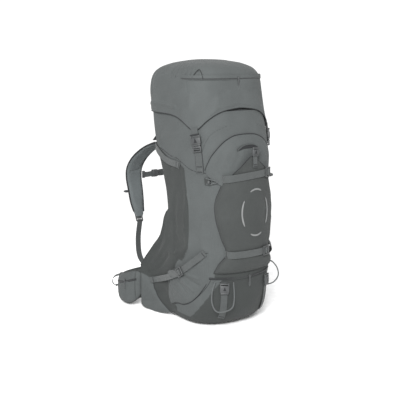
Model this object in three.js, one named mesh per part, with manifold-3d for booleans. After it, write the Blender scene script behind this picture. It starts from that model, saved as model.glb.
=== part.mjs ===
// A hiking backpack standing on its base: bag, hinged lid, sliding harness and hip belt.
// Millimetres, +Z up, front of the bag towards -Y, wearer's side towards +Y, origin on the floor.
import * as THREE from "three";
import Module from "manifold-3d";

const wasm = await Module();
wasm.setup();

// ---- driving dimensions ----
const FABRIC = 3; // thickness of a padded fabric panel
const LINING = 2; // thickness of an unpadded fabric wall
const WEBBING = 1.6; // thickness of a strap
const GAP = 0.4; // clearance kept between touching pieces
const LAYER = 1.4; // clearance between curved layers of fabric
const STRAP_WIDTH = 20;
const PANEL_LOW = 62; // top edge of the base panel
const PANEL_MID = 160; // zip between the lower and the main compartment
const PANEL_HIGH = 640; // top edge of the bag's panels
const COLLAR_HIGH = 694; // top of the drawcord collar
const CORNER = 60; // degrees from the front centre to a front corner seam
const BACK_EDGE = 50; // section angle where the side panels meet the back
const POCKET_DEPTH = 16; // how far the front stretch pocket stands off the bag
const FOAM = 16; // thickness of the back foam
const FOAM_LOW = 250;
const FOAM_BEND = 430; // the back is flat above this height
const FOAM_HIGH = 582;
const BACK_SLOPE = 0.33; // run of the flat upper back per unit of height
const YOKE_HALF_WIDTH = 62;
const LID_LOW = 634; // lid's lower edge at the sides and rear
const LID_FLOOR = 703;
const WING_ARC = { x: 46, y: 165, radius: 130, root: -45, tip: 22.6 };
const CORD_RADIUS = 2;

// The bag's plan section at each height: half width, front, rear and squareness of the front.
const BAG = {
  z: [0, 12, 60, 150, 250, 350, 440, 530, 600, 650, 700],
  halfWidth: [100, 122, 136, 142, 141, 140, 141, 143, 143, 142, 141],
  front: [-152, -200, -236, -246, -248, -247, -243, -233, -212, -196, -184],
  rear: [-26, -12, -6, -4, -8, -12, 8, 42, 60, 66, 70],
  squareness: [2.4, 2.4, 2.4, 2.3, 2.2, 2.1, 2.1, 2.6, 3, 3, 3],
  rearSquareness: 5,
};
const LID = {
  z: [575, 600, 650, 700, 740, 765, 780, 788],
  halfWidth: [148, 148, 148, 149, 148, 140, 120, 86],
  front: [-228, -219, -203, -191, -185, -174, -152, -118],
  rear: [117, 117, 118, 119, 117, 108, 88, 55],
  squareness: [3.3, 3.3, 3.1, 3, 3, 3, 3, 2.8],
  rearSquareness: 3,
};
const COLLAR = {
  z: [640, 665, 694],
  halfWidth: [141, 128, 96],
  front: [-198, -176, -140],
  rear: [64, 48, 18],
  squareness: [3, 2.6, 2.3],
  rearSquareness: 3,
};

// ---- materials ----
const paint = (colour, roughness = 0.85, metalness = 0) => ({
  color: colour,
  roughness,
  metalness,
});
const CLOTH = paint(0x6a6f6f);
const CLOTH_LIGHT = paint(0x74797a);
const CLOTH_DARK = paint(0x4c5152);
const MESH_CLOTH = paint(0x3f4445, 0.95);
const STRETCH = paint(0x5f6465, 0.9);
const WEB = paint(0x5c6061, 0.8);
const PLASTIC = paint(0x3a3e40, 0.45);
const ZIP = paint(0x35393a, 0.6);
const WIRE = paint(0xb8bcc0, 0.35, 0.9);
const FOAM_COLOUR = paint(0x3a3f40, 0.95);

const group = new THREE.Group();
group.name = "hiking_backpack";

function add(name, geometry, material) {
  const mesh = new THREE.Mesh(geometry, new THREE.MeshStandardMaterial(material));
  mesh.name = name;
  group.add(mesh);
}

// ---- curves and sections ----
const radians = THREE.MathUtils.degToRad;
const lerp = THREE.MathUtils.lerp;
const vector = (x, y, z) => new THREE.Vector3(x, y, z);

// Smooth curve through a table of values, held flat beyond its ends.
function along(stations, values, at) {
  const last = stations.length - 1;
  const place = THREE.MathUtils.clamp(at, stations[0], stations[last]);
  let i = 0;
  while (i < last - 1 && place >= stations[i + 1]) i += 1;
  const slope = (k) => {
    const a = Math.max(k - 1, 0);
    const b = Math.min(k + 1, last);
    return (values[b] - values[a]) / (stations[b] - stations[a]);
  };
  const step = stations[i + 1] - stations[i];
  const s = (place - stations[i]) / step;
  return (
    (2 * s ** 3 - 3 * s ** 2 + 1) * values[i] +
    (s ** 3 - 2 * s ** 2 + s) * step * slope(i) +
    (-2 * s ** 3 + 3 * s ** 2) * values[i + 1] +
    (s ** 3 - s ** 2) * step * slope(i + 1)
  );
}

// Point on a shape's wall. Angle 0 is +X, 90 the rear, -90 the front, 180 is -X.
function wall(shape, angle, z, offset = 0) {
  const halfWidth = along(shape.z, shape.halfWidth, z);
  const front = along(shape.z, shape.front, z);
  const rear = along(shape.z, shape.rear, z);
  const centre = rear - 0.4 * (rear - front);
  const plan = (a) => {
    const c = Math.cos(a);
    const s = Math.sin(a);
    const power = s > 0 ? shape.rearSquareness : along(shape.z, shape.squareness, z);
    const reach = s > 0 ? rear - centre : centre - front;
    return [
      halfWidth * Math.sign(c) * Math.abs(c) ** (2 / power),
      centre + reach * Math.sign(s) * Math.abs(s) ** (2 / power),
    ];
  };
  const a = radians(angle);
  const [x, y] = plan(a);
  const [x0, y0] = plan(a - 0.002);
  const [x1, y1] = plan(a + 0.002);
  const run = Math.hypot(x1 - x0, y1 - y0);
  return vector(x + (offset * (y1 - y0)) / run, y - (offset * (x1 - x0)) / run, z);
}

// ---- solids ----
function solid(points, faces) {
  const geometry = new THREE.BufferGeometry();
  geometry.setAttribute(
    "position",
    new THREE.Float32BufferAttribute(points.flatMap((p) => [p.x, p.y, p.z]), 3),
  );
  const volume = faces.reduce((sum, [a, b, c]) => {
    const cross = points[b].clone().cross(points[c]);
    return sum + points[a].dot(cross);
  }, 0);
  const turned = volume < 0 ? faces.map(([a, b, c]) => [a, c, b]) : faces;
  geometry.setIndex(turned.flat());
  geometry.computeVertexNormals();
  return geometry;
}

// Solid between two grids of points with the same rows and columns.
function slab(rows, columns, outerAt, innerAt) {
  const points = [];
  const faces = [];
  const index = (layer, j, i) => (layer * (rows + 1) + j) * (columns + 1) + i;
  for (const at of [outerAt, innerAt])
    for (let j = 0; j <= rows; j += 1)
      for (let i = 0; i <= columns; i += 1) points.push(at(i / columns, j / rows));
  const quad = (a, b, c, d) => faces.push([a, b, c], [a, c, d]);
  for (let j = 0; j < rows; j += 1)
    for (let i = 0; i < columns; i += 1) {
      quad(index(0, j, i), index(0, j, i + 1), index(0, j + 1, i + 1), index(0, j + 1, i));
      quad(index(1, j, i), index(1, j + 1, i), index(1, j + 1, i + 1), index(1, j, i + 1));
    }
  for (let i = 0; i < columns; i += 1) {
    quad(index(0, 0, i), index(1, 0, i), index(1, 0, i + 1), index(0, 0, i + 1));
    quad(index(0, rows, i), index(0, rows, i + 1), index(1, rows, i + 1), index(1, rows, i));
  }
  for (let j = 0; j < rows; j += 1) {
    quad(index(0, j, 0), index(0, j + 1, 0), index(1, j + 1, 0), index(1, j, 0));
    quad(
      index(0, j, columns),
      index(1, j, columns),
      index(1, j + 1, columns),
      index(0, j + 1, columns),
    );
  }
  return solid(points, faces);
}

// Skin over a row of rings. Its two ends are capped, or joined to each other.
function loft(rings, joined = false) {
  const size = rings[0].length;
  const points = rings.flat();
  const faces = [];
  const bands = joined ? rings.length : rings.length - 1;
  for (let j = 0; j < bands; j += 1)
    for (let i = 0; i < size; i += 1) {
      const next = ((j + 1) % rings.length) * size;
      const right = (i + 1) % size;
      faces.push([j * size + i, j * size + right, next + right]);
      faces.push([j * size + i, next + right, next + i]);
    }
  if (!joined)
    for (const [ring, first] of [
      [rings[0], 0],
      [rings.at(-1), points.length - size],
    ]) {
      const centre = ring.reduce((sum, p) => sum.add(p), vector(0, 0, 0));
      const hub = points.push(centre.divideScalar(size)) - 1;
      for (let i = 0; i < size; i += 1) {
        const right = (i + 1) % size;
        faces.push(first ? [first + i, first + right, hub] : [right, i, hub]);
      }
    }
  return solid(points, faces);
}

const ring = (count, at) => Array.from({ length: count }, (_, i) => at((360 * i) / count));

// Panel of a shape's wall between two angles and two heights.
function panel(shape, [from, to], [low, high], [inner, outer], columns, rows) {
  const at = (offset) => (u, v) =>
    wall(shape, lerp(from, to, u), lerp(low, high, v), offset);
  return slab(rows, columns, at(outer), at(inner));
}

function toSolid(geometry) {
  const plain = geometry.index ? geometry : geometry.clone();
  const position = plain.getAttribute("position");
  const keys = new Map();
  const vertices = [];
  const corner = (i) => {
    const p = [position.getX(i), position.getY(i), position.getZ(i)];
    const key = p.map((value) => value.toFixed(3)).join();
    if (!keys.has(key)) {
      keys.set(key, vertices.length / 3);
      vertices.push(...p);
    }
    return keys.get(key);
  };
  const order = plain.index
    ? Array.from(plain.index.array)
    : Array.from({ length: position.count }, (_, i) => i);
  const triVerts = new Uint32Array(order.map(corner));
  return new wasm.Manifold(
    new wasm.Mesh({ numProp: 3, vertProperties: new Float32Array(vertices), triVerts }),
  );
}

function toGeometry(made) {
  const mesh = made.getMesh();
  const geometry = new THREE.BufferGeometry();
  const position = new THREE.Float32BufferAttribute(mesh.vertProperties, 3);
  geometry.setAttribute("position", position);
  geometry.setIndex(Array.from(mesh.triVerts));
  geometry.computeVertexNormals();
  return geometry;
}

const fuse = (...geometries) =>
  toGeometry(geometries.map(toSolid).reduce((sum, next) => sum.add(next)));

// Webbing along a list of stations, each with its point, outward direction and width.
function webbing(stations, thickness = WEBBING) {
  const rings = stations.map(({ at, out, width }, i) => {
    const before = stations[Math.max(i - 1, 0)].at;
    const after = stations[Math.min(i + 1, stations.length - 1)].at;
    const run = after.clone().sub(before).normalize();
    const across = run.clone().cross(out).normalize();
    const lift = across.clone().cross(run).normalize();
    const corner = (side, up) =>
      at
        .clone()
        .addScaledVector(across, (side * width) / 2)
        .addScaledVector(lift, (up * thickness) / 2);
    return [corner(-1, -1), corner(1, -1), corner(1, 1), corner(-1, 1)];
  });
  return loft(rings);
}

// Strap lying on a shape's wall along points given as [angle, z].
function wallStrap(shape, path, lift, width = STRAP_WIDTH, steps = 8, thickness = WEBBING) {
  const stations = [];
  const keys = path.map((_, i) => i);
  for (let i = 0; i <= steps; i += 1) {
    const at = (i / steps) * (path.length - 1);
    const angle = along(keys, path.map((p) => p[0]), at);
    const z = along(keys, path.map((p) => p[1]), at);
    const height = typeof lift === "function" ? lift(angle, z) : lift;
    const point = wall(shape, angle, z, height + thickness / 2);
    const out = point.clone().sub(wall(shape, angle, z, height - 1)).normalize();
    stations.push({ at: point, out, width });
  }
  return webbing(stations, thickness);
}

// Rounded plate with slots, its width along X, its length along Y, rising from z = 0.
function plate(width, length, thickness, slots = [], round = 3) {
  const outline = new THREE.Shape();
  const w = width / 2 - round;
  const l = length / 2 - round;
  outline.absarc(w, l, round, 0, Math.PI / 2);
  outline.absarc(-w, l, round, Math.PI / 2, Math.PI);
  outline.absarc(-w, -l, round, Math.PI, 1.5 * Math.PI);
  outline.absarc(w, -l, round, 1.5 * Math.PI, 2 * Math.PI);
  for (const [middle, slotWidth, slotLength] of slots) {
    const hole = new THREE.Path();
    hole.moveTo(-slotWidth / 2, middle - slotLength / 2);
    hole.lineTo(slotWidth / 2, middle - slotLength / 2);
    hole.lineTo(slotWidth / 2, middle + slotLength / 2);
    hole.lineTo(-slotWidth / 2, middle + slotLength / 2);
    outline.holes.push(hole);
  }
  return new THREE.ExtrudeGeometry(outline, {
    depth: thickness,
    bevelEnabled: false,
    curveSegments: 3,
  });
}

// Moves a plate so that its face looks along `out` and its length runs along `up`.
function placed(geometry, at, out, up) {
  const across = up.clone().cross(out).normalize();
  const level = out.clone().cross(across).normalize();
  const turn = new THREE.Matrix4().makeBasis(across, level, out.clone().normalize());
  return geometry.applyMatrix4(turn.setPosition(at));
}

// The same, standing on a shape's wall.
function onWall(shape, geometry, angle, z, lift, upAngle = angle, upZ = z + 10) {
  const at = wall(shape, angle, z, lift);
  const out = at.clone().sub(wall(shape, angle, z, lift - 1));
  const up = wall(shape, upAngle, upZ, lift).sub(at);
  return placed(geometry, at, out, up);
}

function rod(points, radius, sides = 8, steps = 24, closed = false) {
  const path = new THREE.CatmullRomCurve3(points, closed, "centripetal");
  const circle = new THREE.Shape(
    ring(sides, (a) => new THREE.Vector2(Math.cos(radians(a)), Math.sin(radians(a))))
      .map((p) => p.multiplyScalar(radius)),
  );
  return new THREE.ExtrudeGeometry(circle, { steps, extrudePath: path, bevelEnabled: false });
}

const mirrored = (geometry) => {
  const flipped = geometry.clone().applyMatrix4(new THREE.Matrix4().makeScale(-1, 1, 1));
  const order = flipped.index
    ? Array.from(flipped.index.array)
    : Array.from({ length: flipped.getAttribute("position").count }, (_, i) => i);
  for (let i = 0; i < order.length; i += 3)
    [order[i + 1], order[i + 2]] = [order[i + 2], order[i + 1]];
  flipped.setIndex(order);
  return flipped;
};

// Adds the right-hand piece and its mirror image on the left.
function addPair(name, geometry, material) {
  add(name + "_right", geometry, material);
  add(name + "_left", mirrored(geometry), material);
}

// ---- bag ----
const SEAM = 0.15; // degrees left open at an upright seam
const FRONT = [-90 - CORNER + SEAM, -90 + CORNER - SEAM];
const SIDE = [-90 + CORNER + SEAM, BACK_EDGE - SEAM];
const BACK = [BACK_EDGE + SEAM, 180 - BACK_EDGE - SEAM];

function addBagPanels() {
  const skin = [-FABRIC, 0];
  const upper = [PANEL_MID + GAP, PANEL_HIGH];
  const whole = [PANEL_LOW + GAP, PANEL_HIGH];
  const door = [PANEL_LOW + GAP, PANEL_MID - GAP];
  add("front_panel", panel(BAG, FRONT, upper, skin, 20, 12), CLOTH);
  add("lower_front_door", panel(BAG, FRONT, door, skin, 20, 3), CLOTH_DARK);
  addPair("side_panel", panel(BAG, SIDE, whole, skin, 10, 14), CLOTH_LIGHT);
  add("back_fabric", panel(BAG, BACK, whole, skin, 10, 14), CLOTH_DARK);
}

function addBase() {
  const heights = [62, 45, 28, 14, 5, 0];
  const outside = heights.map((z) => ring(40, (a) => wall(BAG, a, z)));
  const inside = heights
    .slice(0, -1)
    .map((z) => ring(40, (a) => wall(BAG, a, Math.max(z, FABRIC), -FABRIC)));
  add("base_panel", loft([...inside.reverse(), ...outside]), CLOTH_DARK);
}

function addCollar() {
  const heights = [640 + GAP, 652, 668, 682, COLLAR_HIGH];
  const outside = heights.map((z) => ring(32, (a) => wall(COLLAR, a, z, -1)));
  const inside = heights.map((z) => ring(32, (a) => wall(COLLAR, a, z, -1 - LINING)));
  add("drawcord_collar", loft([...outside, ...inside.reverse()], true), CLOTH_DARK);
}

const rearAt = (z) => along(BAG.z, BAG.rear, z);

function addFrame() {
  const inset = 12;
  const halfWidth = 92;
  const at = (x, z) => vector(x, rearAt(z) - inset, z);
  const up = [150, 250, 350, 440, 530, 600];
  const path = [
    ...up.toReversed().map((z) => at(-halfWidth, z)),
    at(-halfWidth + 6, 104),
    at(-halfWidth + 34, 84),
    at(halfWidth - 34, 84),
    at(halfWidth - 6, 104),
    ...up.map((z) => at(halfWidth, z)),
  ];
  add("frame_wire", rod(path, 2.5, 8, 40), WIRE);
}

function addDivider() {
  const floor = (z) =>
    ring(40, (a) => {
      const p = wall(BAG, a, PANEL_MID, -FABRIC - 1);
      return vector(p.x, Math.min(p.y, rearAt(PANEL_MID) - 18), z);
    });
  add("compartment_divider", loft([floor(PANEL_MID - 2), floor(PANEL_MID)]), CLOTH_DARK);
}

// ---- back panel ----
const backPlane = (z) => rearAt(FOAM_BEND) + FOAM + BACK_SLOPE * (z - FOAM_BEND);
const backOut = vector(0, 1, -BACK_SLOPE).normalize();
const backUp = vector(0, BACK_SLOPE, 1).normalize();

function addBackFoam() {
  const low = [250, 270, 300, 330, 360, 400, FOAM_BEND];
  const heights = [...low, 465, 500, 540, FOAM_HIGH];
  const halfWidth = (z) => along([250, 400, 582], [104, 96, 84], z);
  const front = (z) => rearAt(z) + 0.8;
  const face = (z) => (z < FOAM_BEND ? rearAt(z) + FOAM : backPlane(z));
  const rows = heights.length - 1;
  const at = (y) => (u, v) => {
    const z = heights[Math.round(v * rows)];
    return vector(lerp(-1, 1, u) * halfWidth(z), y(z), z);
  };
  add("back_foam", slab(rows, 6, at(face), at(front)), FOAM_COLOUR);
}

// A moulded pad, hollow towards the bag.
function addLumbarPad() {
  const low = 104;
  const high = 246;
  const halfWidth = 120;
  const padding = 22;
  const bulge = (z) => along([104, 118, 150, 180, 215, 236, 246], [44, 62, 82, 80, 58, 28, 14], z);
  const at = (outer) => (u, v) => {
    const x = lerp(-halfWidth, halfWidth, u);
    const z = lerp(low, high, v);
    const face = bulge(z) * (1 - 0.1 * (x / halfWidth) ** 4);
    const hollow = u > 0.1 && u < 0.9 && v > 0.1 && v < 0.9 ? Math.max(0.8, face - padding) : 0.8;
    return vector(x, rearAt(z) + (outer ? face : hollow), z);
  };
  add("lumbar_pad", slab(12, 12, at(true), at(false)), MESH_CLOTH);
}

function addHaulLoop() {
  const loop = plate(84, 36, 4, [[0, 64, 20]], 8);
  const at = vector(0, 82, 606);
  add("haul_loop", placed(loop, at, vector(0, 1, 0), vector(0, 0, 1)), WEB);
}

// ---- front ----
const DOME_TOP = (angle) => along([0, 22, 42, 50], [578, 558, 508, 480], Math.abs(angle + 90));

function addDomePanel() {
  const at = (offset) => (u, v) => {
    const angle = lerp(-138, -42, u);
    return wall(BAG, angle, lerp(174, DOME_TOP(angle), v), offset);
  };
  add("dome_panel", slab(12, 20, at(LAYER + LINING), at(LAYER)), CLOTH_LIGHT);
}

const pocketReach = (z) => along([176, 250, 318, 400, 445], [28, 36, 41, 42, 33], z);
const POCKET_TOP = (side) => along([0, 0.35, 0.65, 1], [520, 492, 472, 446], Math.abs(side));
const POCKET_FLOOR = 178;
const pocketInside = LAYER + LINING + GAP;

// How far the stretch pocket's outside stands off the bag, from edge to middle.
function pocketLift(side, v) {
  const fromEdge = Math.min(1, (1 - Math.abs(side)) / 0.22);
  const fromFloor = Math.min(1, v / 0.12);
  return pocketInside + LINING + (POCKET_DEPTH - LINING) * Math.sqrt(fromEdge * fromFloor);
}

function addStretchPocket() {
  const at = (wallDepth) => (u, v) => {
    const side = lerp(-1, 1, u);
    const z = lerp(POCKET_FLOOR, POCKET_TOP(side), v);
    const angle = -90 + side * pocketReach(z);
    const lift = pocketLift(side, v) - wallDepth;
    return wall(BAG, angle, z, Math.max(lift, pocketInside));
  };
  add("stretch_pocket", slab(14, 24, at(0), at(LINING)), STRETCH);
}

const POCKET_FACE = pocketInside + POCKET_DEPTH;

function liftOverPocket(angle, z) {
  const side = Math.min(1, Math.abs(angle + 90) / pocketReach(z));
  const v = (z - POCKET_FLOOR) / (POCKET_TOP(side) - POCKET_FLOOR);
  return pocketLift(side, Math.min(v, 1)) + 2 * LAYER;
}

function ladderLock(angle, z, lift, upAngle, upZ) {
  const lock = plate(28, 24, 5, [[-6, 20, 4], [5, 20, 5]], 3);
  return onWall(BAG, lock, angle, z, lift, upAngle, upZ);
}

function addFrontStraps() {
  for (const [name, path] of [
    ["upper_front_strap", [[-124, 455], [-110, 460], [-90, 465], [-70, 468]]],
    ["lower_front_strap", [[-122, 236], [-105, 236], [-90, 236], [-74, 236]]],
  ]) {
    const [angle, z] = path.at(-1);
    const strap = wallStrap(BAG, path, liftOverPocket, STRAP_WIDTH, 16);
    const lock = ladderLock(angle, z, liftOverPocket(angle, z) + 0.4, angle - 6, z);
    add(name, fuse(strap, lock), WEB);
  }
}

function addPocketClosure() {
  const strap = wallStrap(BAG, [[-88.5, 488], [-88.5, 540]], POCKET_FACE + 2, 15, 3);
  const buckle = onWall(BAG, plate(24, 26, 6, [[6, 16, 4]], 4), -88.5, 532, POCKET_FACE + 2.4);
  add("pocket_closure", fuse(strap, buckle), PLASTIC);
}

function addTieOffs() {
  const loop = [
    wall(BAG, -38, 452, 3),
    wall(BAG, -43, 458, 8),
    wall(BAG, -52, 450, 6),
    wall(BAG, -50, 440, 10),
    wall(BAG, -42, 440, 9),
  ];
  const stopper = onWall(BAG, plate(12, 18, 9, [], 3), -41, 446, 4);
  addPair("bungee_tie_off", fuse(rod(loop, 1.5, 8, 20), stopper), PLASTIC);
}

function addPadStraps() {
  const angle = -60;
  const strap = wallStrap(BAG, [[angle, 150], [angle, 36]], 1, STRAP_WIDTH, 6);
  const hook = onWall(BAG, plate(28, 34, 6, [[-9, 20, 4], [9, 20, 4]], 4), angle, 132, 1.4);
  addPair("sleeping_pad_strap", fuse(strap, hook), WEB);
}

function addAxeLoops() {
  const right = [
    [-48, 186, 6],
    [-46, 178, 18],
    [-45, 158, 31],
    [-46, 136, 34],
    [-49, 118, 22],
    [-51, 110, 3],
  ];
  const left = [
    [-48, 152, 3],
    [-45, 122, 12],
    [-46, 88, 20],
    [-53, 66, 24],
    [-68, 72, 17],
    [-72, 100, 8],
    [-71, 150, 3],
  ];
  const loop = (stations) =>
    rod(stations.map(([angle, z, lift]) => wall(BAG, angle, z, lift)), CORD_RADIUS, 8, 32);
  add("ice_axe_loop_right", loop(right), WEB);
  add("ice_axe_loop_left", mirrored(loop(left)), WEB);
}

// ---- sides ----
function addSidePockets() {
  const at = (wallDepth) => (u, v) => {
    const angle = lerp(-40, 36, u);
    const z = lerp(66, lerp(236, 150, u), v);
    const middle = Math.min(1, Math.min(u, 1 - u) / 0.25);
    const lift = 3 + LINING + 17 * Math.sqrt(middle * Math.min(1, v / 0.2)) * (0.5 + 0.5 * v);
    return wall(BAG, angle, z, Math.max(lift - wallDepth, GAP));
  };
  addPair("side_pocket", slab(8, 14, at(0), at(LINING)), STRETCH);
}

function addSideStraps() {
  const upper = wallStrap(BAG, [[-4, 485], [20, 505], [44, 534]], 2.2, STRAP_WIDTH, 8);
  addPair("upper_side_strap", upper, WEB);
  const lift = 24;
  const lower = wallStrap(BAG, [[-34, 238], [-14, 190], [4, 150], [20, 112]], lift, 20, 8);
  const lock = onWall(BAG, plate(28, 36, 6, [[-10, 20, 4], [10, 20, 4]], 4), -6, 172, lift + 0.4);
  addPair("lower_side_strap", fuse(lower, lock), WEB);
}

// ---- zips ----
function zipTrack(shape, from, to, z) {
  return panel(shape, [from, to], [z - 4, z + 4], [0.5, 1.7], 24, 1);
}

function zipSlider(shape, z) {
  const body = onWall(shape, plate(9, 14, 4, [], 2), -90, z, 3.2);
  const pull = onWall(shape, plate(6, 24, 2, [[-9, 3, 3]], 2), -90, z - 14, 4);
  return fuse(body, pull);
}

function addZips() {
  add("lid_zip_track", zipTrack(LID, -160, -20, 737), ZIP);
  add("lid_zip_slider", zipSlider(LID, 737), PLASTIC);
}

// ---- lid ----
const lidEdge = (angle) => {
  const fromFront = Math.abs(((angle + 270) % 360) - 180);
  return along(
    [0, 19, 38, 55, 61, 80, 100, 180],
    [654, 643, 621, 594, 592, 628, LID_LOW, LID_LOW],
    fromFront,
  );
};

function addLid() {
  const sides = 48;
  const depth = LINING + 1;
  const seam = LID_FLOOR - 1;
  const skirt = (offset) =>
    [0, 0.5, 1].map((v) =>
      ring(sides, (a) => wall(LID, a, lerp(lidEdge(a), seam - GAP, v), offset)),
    );
  add("lid_skirt", loft([...skirt(-depth).reverse(), ...skirt(0)], true), CLOTH_LIGHT);
  const shoulder = 740;
  const hood = (offset, drop) =>
    [seam, 720, shoulder, 765, 780, 788].map((z) =>
      ring(sides, (a) => wall(LID, a, z, offset).setZ(z > shoulder ? z - drop : z)),
    );
  add("lid_hood", loft([...hood(-depth, depth).reverse(), ...hood(0, 0)]), CLOTH_LIGHT);
  const floor = (z) => ring(40, (a) => wall(LID, a, LID_FLOOR, -LINING - 1.5).setZ(z));
  add("lid_floor", loft([floor(LID_FLOOR), floor(LID_FLOOR + LINING)]), CLOTH_DARK);
}

const BUCKLE_ANGLE = -31;

function addLidBuckles() {
  const low = wallStrap(BAG, [[BUCKLE_ANGLE, 470], [BUCKLE_ANGLE, 548]], 0.5, 22, 4);
  addPair("lid_strap", low, WEB);
  const plug = onWall(BAG, plate(28, 18, 6, [[-3, 20, 4]], 3), BUCKLE_ANGLE, 541, 3.2);
  const tongue = onWall(BAG, plate(14, 14, 3, [], 2), BUCKLE_ANGLE, 554, 4.6);
  addPair("lid_buckle_plug", fuse(plug, tongue), PLASTIC);
  const shell = toSolid(onWall(BAG, plate(32, 26, 8, [], 4), BUCKLE_ANGLE, 564, 2.4));
  const mouth = toSolid(onWall(BAG, plate(16, 30, 4.2, [], 2), BUCKLE_ANGLE, 554, 4));
  const tab = onWall(BAG, plate(22, 24, 1.6, [], 1), BUCKLE_ANGLE, 584, 7.6);
  addPair("lid_buckle_socket", toGeometry(shell.subtract(mouth).add(toSolid(tab))), PLASTIC);
}

// ---- harness ----
function addYoke() {
  const at = vector(0, backPlane(500), 500).addScaledVector(backOut, 0.6);
  const board = plate(2 * YOKE_HALF_WIDTH, 90, 7, [], 20);
  add("yoke", placed(board, at, backOut, backUp), MESH_CLOTH);
}

// Middle line of the right shoulder strap, from the yoke over the shoulder to its tip.
const STRAP_LINE = new THREE.CatmullRomCurve3(
  [
    [44, 62, 474],
    [50, 84, 510],
    [60, 122, 525],
    [72, 170, 508],
    [84, 217, 474],
    [92, 244, 436],
    [93, 250, 400],
    [93, 240, 358],
    [99, 220, 315],
    [104, 196, 275],
  ].map((p) => vector(...p)),
);
const strapWidth = (s) => along([0, 0.2, 0.5, 0.85, 1], [46, 62, 64, 54, 34], s);

function addShoulderStraps() {
  const steps = 26;
  const round = [
    [-1, -0.35], [-0.8, -1], [0.8, -1], [1, -0.35], [1, 0.35], [0.8, 1], [-0.8, 1], [-1, 0.35],
  ];
  const rings = Array.from({ length: steps + 1 }, (_, i) => {
    const s = i / steps;
    const at = STRAP_LINE.getPoint(s);
    const run = STRAP_LINE.getTangent(s);
    const across = vector(1, 0, 0).addScaledVector(run, -run.x).normalize();
    const lift = run.clone().cross(across);
    return round.map(([w, t]) =>
      at
        .clone()
        .addScaledVector(across, (w * strapWidth(s)) / 2)
        .addScaledVector(lift, t * 6.5),
    );
  });
  addPair("shoulder_strap", loft(rings), MESH_CLOTH);
}

function hangingStrap(points, width, thickness = WEBBING) {
  const path = new THREE.CatmullRomCurve3(points.map((p) => vector(...p)));
  const steps = 12;
  const stations = Array.from({ length: steps + 1 }, (_, i) => {
    const run = path.getTangent(i / steps);
    return { at: path.getPoint(i / steps), out: vector(1, 0, 0).cross(run), width };
  });
  return webbing(stations, thickness);
}

function addHarnessWebbing() {
  const lifter = hangingStrap([[66, 84, 574], [68, 112, 566], [71, 152, 532]], 16);
  addPair("load_lifter", lifter, WEB);
  const tail = hangingStrap([[104, 195, 267], [112, 196, 200], [116, 178, 142], [114, 122, 112]], 20);
  addPair("lower_webbing", tail, WEB);
}

function addSternumStrap() {
  const y = 249;
  const z = 405;
  const end = 60;
  const flat = (from, to) =>
    webbing([from, to].map((x) => ({ at: vector(x, y, z), out: vector(0, 1, 0), width: 18 })));
  const clip = (x, depth, geometry) =>
    placed(geometry, vector(x, y + depth, z), vector(0, 1, 0), vector(1, 0, 0));
  const runner = (x) => clip(x, -3, plate(24, 10, 6, [], 3));
  add("sternum_strap_right", fuse(flat(12, end - 2), runner(end - 5)), WEB);
  const body = clip(17, 1.6, plate(22, 14, 6, [[0, 16, 4]], 3));
  const tongue = clip(5, 3.2, plate(12, 16, 3, [], 2));
  add("sternum_plug", fuse(body, tongue), PLASTIC);
  const shell = toSolid(clip(-6, 0, plate(26, 26, 8, [], 4)));
  const mouth = toSolid(clip(6, 2.4, plate(14, 24, 4.6, [], 2)));
  const left = toSolid(fuse(flat(-end + 2, -10), runner(-end + 5)));
  add("sternum_strap_left", toGeometry(shell.subtract(mouth).add(left)), WEB);
}

// ---- hip belt ----
const WING_TOP = (a) => along([-45, -34, 2, 23], [150, 139, 106, 96], a);
const WING_LOW = (a) => Math.max(0, along([-45, -34, -14, 2, 23], [62, 34, 5, -2, 16], a));

function wing(angle, z, offset) {
  const a = radians(angle);
  const reach = WING_ARC.radius + offset;
  return vector(WING_ARC.x + reach * Math.cos(a), WING_ARC.y + reach * Math.sin(a), z);
}

function addWings() {
  const steps = 14;
  const outline = [
    [0, -9], [0.08, -10], [0.5, -10], [0.92, -10], [1, -9], [1, 8], [0.92, 10], [0.5, 10],
    [0.08, 10], [0, 8],
  ];
  const rings = Array.from({ length: steps + 1 }, (_, i) => {
    const a = lerp(WING_ARC.root, WING_ARC.tip, i / steps);
    const thin = 1 - 0.35 * (i / steps) ** 2;
    return outline.map(([v, depth]) => wing(a, lerp(WING_LOW(a), WING_TOP(a), v), depth * thin));
  });
  addPair("hip_wing", loft(rings), MESH_CLOTH);
}

const BELT_ZIP = 84;

function addBeltPockets() {
  const from = -30;
  const to = 12;
  const at = (outer) => (u, v) => {
    const a = lerp(from, to, u);
    const z = lerp(WING_LOW(a) + 12, WING_TOP(a) - 8, v);
    const crown = Math.sqrt(Math.min(1, Math.min(u, 1 - u, v, 1 - v) / 0.22));
    return wing(a, z, outer ? 12.5 + 9 * crown : 10.6);
  };
  addPair("belt_pocket", slab(8, 12, at(true), at(false)), CLOTH);
  const middle = -9;
  const out = wing(middle, 0, 1).sub(wing(middle, 0, 0));
  const pull = plate(6, 22, 3, [[-7, 3, 3]], 2);
  placed(pull, wing(middle, BELT_ZIP, 23), out, vector(0, 0, 1));
  addPair("belt_zip_slider", pull, PLASTIC);
}

function addBeltWebbing() {
  const z = 62;
  const points = [
    [162, 224],
    [139, 246],
    [100, 258],
    [60, 262],
    [34, 262],
  ].map(([x, y]) => vector(x, y, z));
  const stations = points.map((at, i) => {
    const before = points[Math.max(i - 1, 0)];
    const after = points[Math.min(i + 1, points.length - 1)];
    return { at, out: after.clone().sub(before).cross(vector(0, 0, 1)), width: 36 };
  });
  const strap = webbing(stations, 2);
  const clip = (x, geometry) =>
    placed(geometry, vector(x, 257, z), vector(0, 1, 0), vector(1, 0, 0));
  add("belt_webbing_right", fuse(strap, clip(28, plate(46, 26, 9, [], 5))), WEB);
  add("belt_webbing_left", fuse(mirrored(strap), clip(-28, plate(46, 26, 9, [], 5))), WEB);
}

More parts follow.
